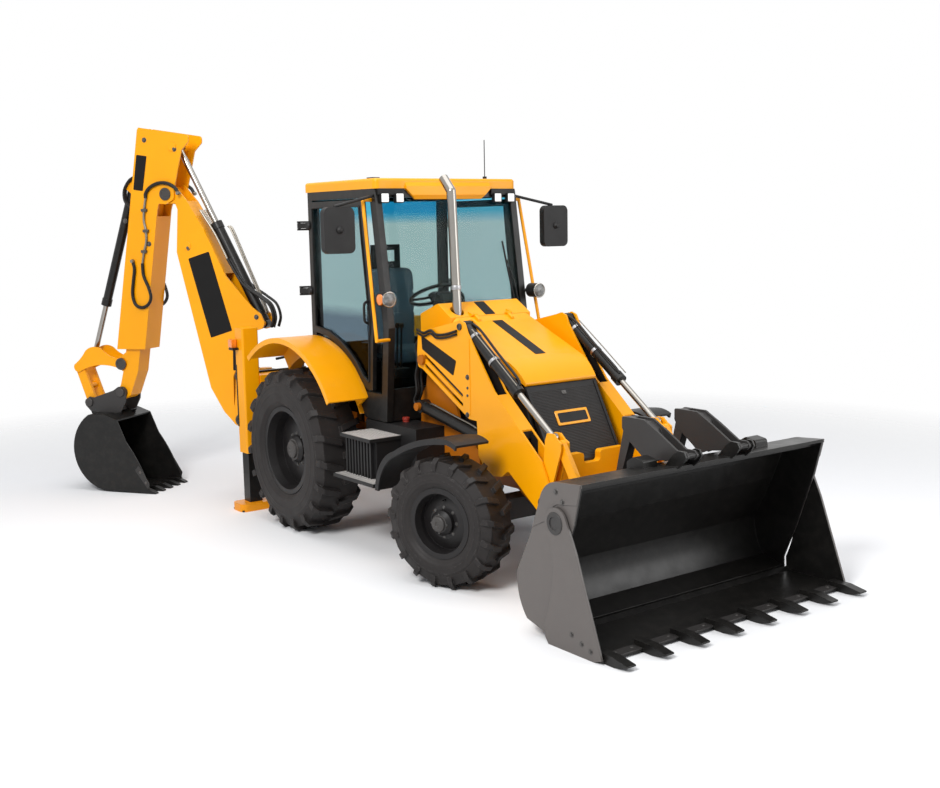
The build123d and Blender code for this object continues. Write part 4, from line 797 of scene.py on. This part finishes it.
# Cab: lamps, mirrors, wipers, handles, seals and what shows inside
cabParts = {"roundLamp": (1.262, 0.760, 2.036), "mirror": (0.968, 2.413, 1.212, 2.742),
            "handle": (0.93, 1.92), "hinges": (2.065, 2.62),
            "doorGlass": [(0.07, 1.762), (0.07, 2.766), (0.835, 2.766), (0.858, 2.54), (0.955, 1.80),
                          (0.935, 1.70), (0.915, 1.35), (0.83, 1.395), (0.73, 1.50), (0.62, 1.58),
                          (0.48, 1.66), (0.28, 1.735)],
            "wipers": (([(1.128, 0.63, 1.80), (1.149, 0.60, 1.87), (1.112, 0.575, 2.10),
                         (1.080, 0.545, 2.31)], 0.006),
                       ([(1.140, 0.645, 1.79), (1.158, 0.635, 1.86), (1.120, 0.605, 2.10),
                         (1.084, 0.555, 2.30)], 0.005),
                       ([(1.126, 0.575, 2.04), (1.096, 0.548, 2.24), (1.064, 0.52, 2.46)], 0.008)),
            "exhaustBand": (1.4903, -0.282, 2.115)}


def roundLampPieces():
    x, y, z = cabParts["roundLamp"]
    dome = [(-0.002, 0), (-0.002, 0.052), (0.004, 0.051), (0.011, 0.043), (0.016, 0.026), (0.018, 0)]
    addPair("headLenses", [turned(dome, (x, y, z), (1, 0, 0), 36)], "headGlass")
    ring = [(-0.004, 0.051), (-0.004, 0.0635), (0.004, 0.0625), (0.006, 0.056), (0.003, 0.051),
            (-0.004, 0.051)]
    addPair("headRings", [turned(ring, (x, y, z), (1, 0, 0), 36)], "chrome")
    side = [(-0.004, 0), (-0.004, 0.044), (0.006, 0.042), (0.012, 0.032), (0.015, 0)]
    addPair("turnLenses", [turned(side, (x - 0.045, y + 0.058, z), (0, 1, 0))], "amberLens")


def doorPieces(name, sign):
    hx, hz = cabParts["handle"]
    handle = [(hx, 0.750, hz + 0.09), (hx, 0.785, hz + 0.07), (hx, 0.790, hz), (hx, 0.785, hz - 0.07),
              (hx, 0.750, hz - 0.09)]
    cap = [(-0.012, 0), (-0.012, 0.036), (0.012, 0.034), (0.022, 0.026), (0.022, 0)]
    knobs = turned(cap, [(0.012, sign * 0.757, z) for z in cabParts["hinges"]], (0, sign, 0), 20)
    addPiece(f"doorHandle_{name}", [tube(handle, 0.011) * (1, sign, 1), knobs], "darkPlastic", f"{name}_door")
    # rubber seal round the door glass
    path = rounded(cabParts["doorGlass"], 0.014, 3)
    seal = np.stack([path[:, 0], np.full(len(path), 0.7535), path[:, 1]], -1)
    seal = np.concatenate([seal, seal[:1]]) * (1, sign, 1)
    addPiece(f"doorSeal_{name}", [sealRing(seal, 0.0075)], "hoseRubber", f"{name}_door")


def cabPieces():
    roundLampPieces()
    face = rectangle(*cabParts["mirror"], 0.042, 6)
    addPair("mirrorGlasses", [slab(face, 1.0395, 1.0425, **facingFront)], "mirrorGlass")
    knob = [(0, 0), (0, 0.030), (0.010, 0.028), (0.020, 0.016), (0.026, 0.014), (0.028, 0)]
    addPair("mirrorKnobs", [turned(knob, (1.103, 1.09, 2.58), (1, 0, 0), 20)], "darkPlastic")
    doorPieces("left", 1)
    doorPieces("right", -1)
    # wiper in front of the left half of the screen, and one behind
    pivot = turned([(-0.02, 0), (-0.02, 0.02), (0.008, 0.02), (0.014, 0.012), (0.014, 0)],
                   (1.142, 0.64, 1.80), (1, 0, 0.1), 16)
    addPiece("frontWiper", [tube(*run) for run in cabParts["wipers"]] + [pivot], "darkPlastic")
    rear = [tube([(-0.060, -0.10, 1.64), (-0.066, -0.06, 1.85), (-0.066, 0.02, 2.15)], 0.006),
            tube([(-0.064, -0.06, 1.90), (-0.064, 0.05, 2.36)], 0.007)]
    addPiece("rearWiper", rear, "darkPlastic")
    # levers and small panels seen through the glass
    sticks = [tube([(0.70, y, 1.40), (0.71, y, 1.62), (0.73, y * 1.02, 1.76)], 0.009) for y in (-0.34, -0.30)]
    sticks += [tube([(-0.02, y, 1.56), (0.03, y, 1.78), (0.045, y, 1.92)], 0.010) for y in (0.14, -0.14)]
    knob = [(0, 0), (0.004, 0.014), (0.02, 0.022), (0.04, 0.020), (0.05, 0.010), (0.052, 0)]
    tops = [(0.73, -0.347, 1.75), (0.73, -0.306, 1.75), (0.045, 0.14, 1.90), (0.045, -0.14, 1.90)]
    panels = [box((0.56, -0.42, 1.34), (0.80, -0.27, 1.42)),
              box((0.15, -0.36, 1.52), (0.48, -0.29, 1.60), 0.012),
              box((0.15, 0.29, 1.52), (0.48, 0.36, 1.60), 0.012)]
    addPiece("cabLevers", sticks + [turned(knob, tops, (0.1, 0, 1), 16)] + panels, "darkPlastic")
    interiorPieces()
    # a clamp round the exhaust
    band = [(-0.016, 0.0375), (-0.016, 0.0415), (-0.010, 0.043), (0.010, 0.043), (0.016, 0.0415),
            (0.016, 0.0375), (-0.016, 0.0375)]
    addPiece("exhaustBands", [turned(band, cabParts["exhaustBand"], (-0.05, 0, 1.0), 32)], "steel")


def sealRing(path, radius, sides=8):
    # ring(s, t) = C(s) + r (cos t Y + sin t (T x Y)) round a closed path C in a plane across y
    tangent = np.gradient(path, axis=0)
    tangent[0] = tangent[-1] = path[1] - path[-2]
    tangent /= np.linalg.norm(tangent, axis=1, keepdims=True)
    normal = np.array((0.0, 1.0, 0.0))
    turn = np.linspace(0, 2 * math.pi, sides, endpoint=False)[None, :, None]
    across = np.cross(tangent, normal)[:, None]
    return (path[:, None] + radius * (np.cos(turn) * normal + np.sin(turn) * across))[None]


cabPieces()

# Flat lamps, lenses and plates that face forwards or back: name and finish, each one's y, half its width,
# its z from and to, the corners' radius, its x from and to, and its edge
flatPieces = (("workLenses", "lampLens", (0.495, 0.636), 0.033, 2.793, 2.859, 0.007, 1.047, 1.053, 0.002),
              ("workBezels", "darkPlastic", (0.495, 0.636), 0.039, 2.787, 2.865, 0.008, 1.046, 1.050, 0.002),
              ("rearLampBodies", "darkPlastic", (0.42, 0.56), 0.050, 2.840, 2.895, 0.010, -0.118, -0.072,
               0.004),
              ("rearLampLenses", "lampLens", (0.42, 0.56), 0.042, 2.848, 2.887, 0.008, -0.122, -0.117, 0.002),
              ("rearLampPlates", "blackPaint", (0.930,), 0.058, 1.300, 1.600, 0.012, -1.022, -1.008, 0.003),
              ("tailLamps", "redLens", (0.930,), 0.050, 1.475, 1.590, 0.012, -1.028, -1.019, 0.003),
              ("tailAmbers", "amberLens", (0.930,), 0.050, 1.385, 1.465, 0.012, -1.028, -1.019, 0.003),
              ("tailWhites", "lampLens", (0.930,), 0.050, 1.310, 1.375, 0.012, -1.028, -1.019, 0.003))
for name, finish, places, half, z0, z1, radius, x0, x1, edge in flatPieces:
    addPair(name, [slab(rectangle(y - half, z0, y + half, z1, radius), x0, x1, edge, **facingFront)
                   for y in places],
            finish)

# Steps, filler caps and stabilisers
sideParts = {"steps": ((0.850, 1.285, 0.700, 0.992, 0.957), (0.812, 1.400, 0.700, 1.042, 0.628)),
             "studGap": 0.038, "capPlace": (1.12, 0.54, 1.03)}


def sidePieces():
    plates, studs = [], []
    gap = sideParts["studGap"]
    for x0, x1, y0, y1, z in sideParts["steps"]:
        plates.append(slab(rectangle(x0, y0, x1, y1, 0.01, 2), z - 0.001, z + 0.003, **facingUp))
        gx, gy = np.meshgrid(np.arange(x0 + 0.03, x1 - 0.02, gap), np.arange(y0 + 0.03, y1 - 0.02, gap))
        studs.append(np.stack([gx.ravel(), gy.ravel(), np.full(gx.size, z + 0.003)], -1))
    addPair("stepPlates", plates, "stepPlate")
    stud = [(-0.001, 0), (-0.001, 0.0115), (0.0035, 0.0085), (0.0035, 0.005), (0.0005, 0.0045), (0.0005, 0)]
    addPair("stepStuds", [turned(stud, np.concatenate(studs), (0, 0, 1), 8)], "stepPlate", sharpAngle=20)
    cap = [(0, 0), (0, 0.027), (0.014, 0.027), (0.017, 0.031), (0.034, 0.031), (0.038, 0.025), (0.038, 0)]
    addPair("fillerCaps", [turned(cap, sideParts["capPlace"], (0, 0, 1), 20)], "redCap")
    # bracket lamps and a studded strip on the stabiliser boxes
    addPair("rearBrackets", [box((-1.010, 1.000, 1.50), (-0.930, 1.075, 1.52))], "blackPaint")
    addPair("rearAmbers", [box((-1.020, 1.020, 1.52), (-0.950, 1.075, 1.60), 0.006)], "amberLens")
    addPair("guideStrips", [box((-1.004, 1.008, 0.78), (-0.984, 1.0155, 1.36))], "darkPlastic")
    places = [(-0.994, 1.0155, z) for z in np.arange(0.80, 1.35, 0.033)]
    stud = [(-0.002, 0), (-0.002, 0.006), (0.003, 0.005), (0.003, 0)]
    addPair("guideStuds", [turned(stud, places, (0, 1, 0), 8)], "boltSteel")
    pad = box((-1.030, 0.770, 0.001), (-0.830, 1.090, 0.016), 0.004)
    for name, sign in (("left", 1), ("right", -1)):
        addPiece(f"footRubber_{name}", [pad * (1, sign, 1)], "hoseRubber", f"stabiliser_{name}")


sidePieces()

# Hoses from the frame to the carriage
carriageHoses = {"radius": 0.013,
                 "runs": [[(-1.03, -0.30, 1.22), (-1.12, -0.26, 1.34), (-1.22, -0.30, 1.40),
                           (-1.33, -0.40, 1.38)],
                          [(-1.03, -0.34, 1.22), (-1.13, -0.31, 1.31), (-1.23, -0.34, 1.36),
                           (-1.33, -0.43, 1.34)]]}
addTubes("carriageHoses", carriageHoses["runs"], carriageHoses["radius"], "hoseRubber", "carriage")

# Digger bucket: side cutters with bolts, and the pins and collar of its hitch
diggerBucket = {"cutter": [(1.186, 0.10), (1.205, 0.045), (1.345, 0.235), (1.300, 0.285)],
                "cutterFace": 0.306,
                "cutterBolts": [(1.225, 0.115), (1.285, 0.215)], "pins": [(1.577, 0.992), (1.954, 0.881)],
                "pinFace": 0.144, "collar": (1.74, 0, 0.800), "lean": 0.04}


def diggerBucketPieces():
    face = diggerBucket["cutterFace"]
    addPiece("sideCutters", hoeSlabs(rounded(diggerBucket["cutter"], 0.012), face - 0.007, face, 0.002),
             "greyPaint", "rear_bucket")
    grids = [grid for at in hoeFaces(diggerBucket["cutterBolts"], face) for grid in bolts(*at, 0.8)]
    addPiece("cutterBolts", grids, "boltSteel", "rear_bucket")
    cap = [(-0.003, 0), (-0.003, 0.044), (0.006, 0.044), (0.009, 0.040), (0.009, 0)]
    grids = [turned(cap, *at) for at in hoeFaces(diggerBucket["pins"], diggerBucket["pinFace"])]
    addPiece("hitchPins", grids, "hubPaint", "rear_bucket")
    collar = [(-0.010, 0.040), (-0.010, 0.105), (0.004, 0.112), (0.016, 0.105), (0.016, 0.040),
              (-0.010, 0.040)]
    axis = diggerBucket["lean"] * hoeOut + (0, 0, 1)
    addPiece("hitchCollar", [turned(collar, onHoe([diggerBucket["collar"]])[0], axis, 40)], "greyPaint",
             "rear_bucket")


diggerBucketPieces()
print("cab, side and rear pieces made")

# Seat: two padded cushions in cloth, swollen by a short cloth simulation
cushions = {"seatBase": {"low": (0.155, -0.245, 1.4315), "high": (0.655, 0.245, 1.550),
                         "channels": (0, (0.32, 0.49)), "cap": 0.010, "fill": 0.7},
            "seatBack": {"low": (0.045, -0.240, 1.475), "high": (0.142, 0.240, 2.240),
                         "channels": (2, (1.66, 1.84, 2.02)), "cap": 0.008, "fill": 0.7}}
cushionRun = {"voxel": 0.0066, "pressure": 4, "frames": 20, "seamDepth": 0.010, "seamWidth": 0.010,
              "slack": 0.004}


def roundedBlock(low, high, power=0.28, rings=25, steps=48):
    # point(s, t) = middle + half sizes x (c(s) c(t), c(s) s(t), s(s)), with each sine raised to a low power
    s = np.linspace(-math.pi / 2, math.pi / 2, rings)[:, None]
    t = np.linspace(0, 2 * math.pi, steps, endpoint=False)[None, :]

    def raised(v):
        return np.sign(v) * np.abs(v) ** power

    low, high = np.array(low), np.array(high)
    shape = np.stack([raised(np.cos(s)) * raised(np.cos(t)), raised(np.cos(s)) * raised(np.sin(t)),
                      raised(np.sin(s)) * np.ones_like(t)], -1)
    return ((low + high) / 2 + shape * (high - low) / 2)[None]


def useModifier(piece, kind, **settings):
    modifier = piece.modifiers.new(kind.lower(), kind)
    for key, value in settings.items():
        setattr(modifier, key, value)
    return modifier


def bakePiece(piece):
    # Writes what the modifiers show into the mesh and takes the modifiers off
    bpy.context.view_layer.update()
    shown = piece.evaluated_get(bpy.context.evaluated_depsgraph_get())
    mesh = bpy.data.meshes.new_from_object(shown)
    piece.modifiers.clear()
    piece.data = mesh
    return mesh


def meshPoints(mesh):
    points = np.empty(len(mesh.vertices) * 3)
    mesh.vertices.foreach_get("co", points)
    return points.reshape(-1, 3)


def cushionPiece(name, s):
    piece = addPiece(name, [roundedBlock(s["low"], s["high"])], "cloth", sharpAngle=60)
    piece.parent = None
    useModifier(piece, "REMESH", mode="VOXEL", voxel_size=cushionRun["voxel"])
    start = meshPoints(bakePiece(piece))
    swollen = start
    cloth = useModifier(piece, "CLOTH")
    cloth.settings.use_pressure = True
    cloth.settings.uniform_pressure_force = cushionRun["pressure"]
    cloth.settings.effector_weights.gravity = 0
    for number in range(1, cushionRun["frames"] + 1):
        bpy.context.scene.frame_set(number)
    swollen = meshPoints(bakePiece(piece))
    bpy.context.scene.frame_set(1)
    move = swollen - start
    length = np.linalg.norm(move, axis=1, keepdims=True)
    points = start + move * np.minimum(1, s["cap"] / np.maximum(length, 1e-9))
    # sewn channels: each point near a seam is drawn in by d exp(-(gap / width)^2)
    axis, seams = s["channels"]
    low, high = np.array(s["low"]) + shift, np.array(s["high"]) + shift
    for seam in seams:
        gap = points[:, axis] - seam - shift[axis]
        draw = cushionRun["seamDepth"] * np.exp(-(gap / cushionRun["seamWidth"]) ** 2)
        inward = (low + high) / 2 - points
        inward[:, axis] = 0
        inward /= np.maximum(np.linalg.norm(inward, axis=1, keepdims=True), 1e-9)
        points = points + inward * draw[:, None]
    points = np.clip(points, low - cushionRun["slack"], high + cushionRun["slack"])
    piece.data.vertices.foreach_set("co", points.ravel())
    piece.data.update()
    useModifier(piece, "SUBSURF", levels=1, render_levels=1)
    bakePiece(piece)
    piece.data.shade_smooth()
    if not piece.data.materials:
        piece.data.materials.append(finishes["cloth"])
    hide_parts("seat_cushions")
    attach(piece, "chassis")


for cushionName, cushionSettings in cushions.items():
    cushionPiece(cushionName, cushionSettings)
print("cushions made")

stage = {"size": 60, "fadeFrom": 4.5, "fadeTo": 9.0, "floor": (0.9, 0.9, 0.9, 1), "sky": (0.9, 0.93, 1, 1),
         "skyLevel": 0.42,
         "lamps": (("keyLight", (5, -8, 8), (1, 0, 1), 3.5, 950), ("topLight", (0, 0, 9), (0, 0, 1), 8, 420),
                   ("fillLight", (8, 5, 4), (1, 0, 1), 5, 240))}


def makeStage():
    bpy.ops.mesh.primitive_plane_add(size=stage["size"], location=(0, 0, 0))
    floor = bpy.context.object
    floor.name = "studioFloor"
    m = Nodes(bpy.data.materials.new("studioFloor"))
    m.setShader(Base_Color=stage["floor"], Roughness=0.9, Specular_IOR_Level=0.1)
    # the floor fades out with its distance from the middle
    length = m.math("LENGTH", m.coords, node="ShaderNodeVectorMath")
    fade = m.ramp(length, stage["fadeFrom"], stage["fadeTo"], 0, 1)
    m.mixShaders(fade, m.shader, m.add("ShaderNodeBsdfTransparent"), "Material Output")
    floor.data.materials.append(m.owner)

    # the sky lights the scene, and what the camera sees of it, also in glass and mirrors, is white
    w = Nodes(bpy.data.worlds.new("studioWorld"))
    bpy.context.scene.world = w.owner
    sky = w.tree.nodes["Background"]
    w.join(stage["sky"], sky.inputs["Color"])
    w.join(stage["skyLevel"], sky.inputs["Strength"])
    path = w.add("ShaderNodeLightPath").outputs
    seen = w.math("MAXIMUM", path["Is Camera Ray"], path["Is Glossy Ray"])
    seen = w.math("MAXIMUM", seen, path["Is Transmission Ray"])
    w.mixShaders(seen, sky, w.add("ShaderNodeBackground", Color=(1, 1, 1, 1)), "World Output")

    for name, place, target, size, power in stage["lamps"]:
        data = bpy.data.lights.new(name, "AREA")
        data.size = size
        data.energy = power
        light = bpy.data.objects.new(name, data)
        bpy.context.collection.objects.link(light)
        light.location = place
        light.rotation_euler = (Vector(target) - Vector(place)).to_track_quat("-Z", "Y").to_euler()


makeStage()
bpy.context.scene.view_settings.view_transform = "Standard"
print("stage and lights set")
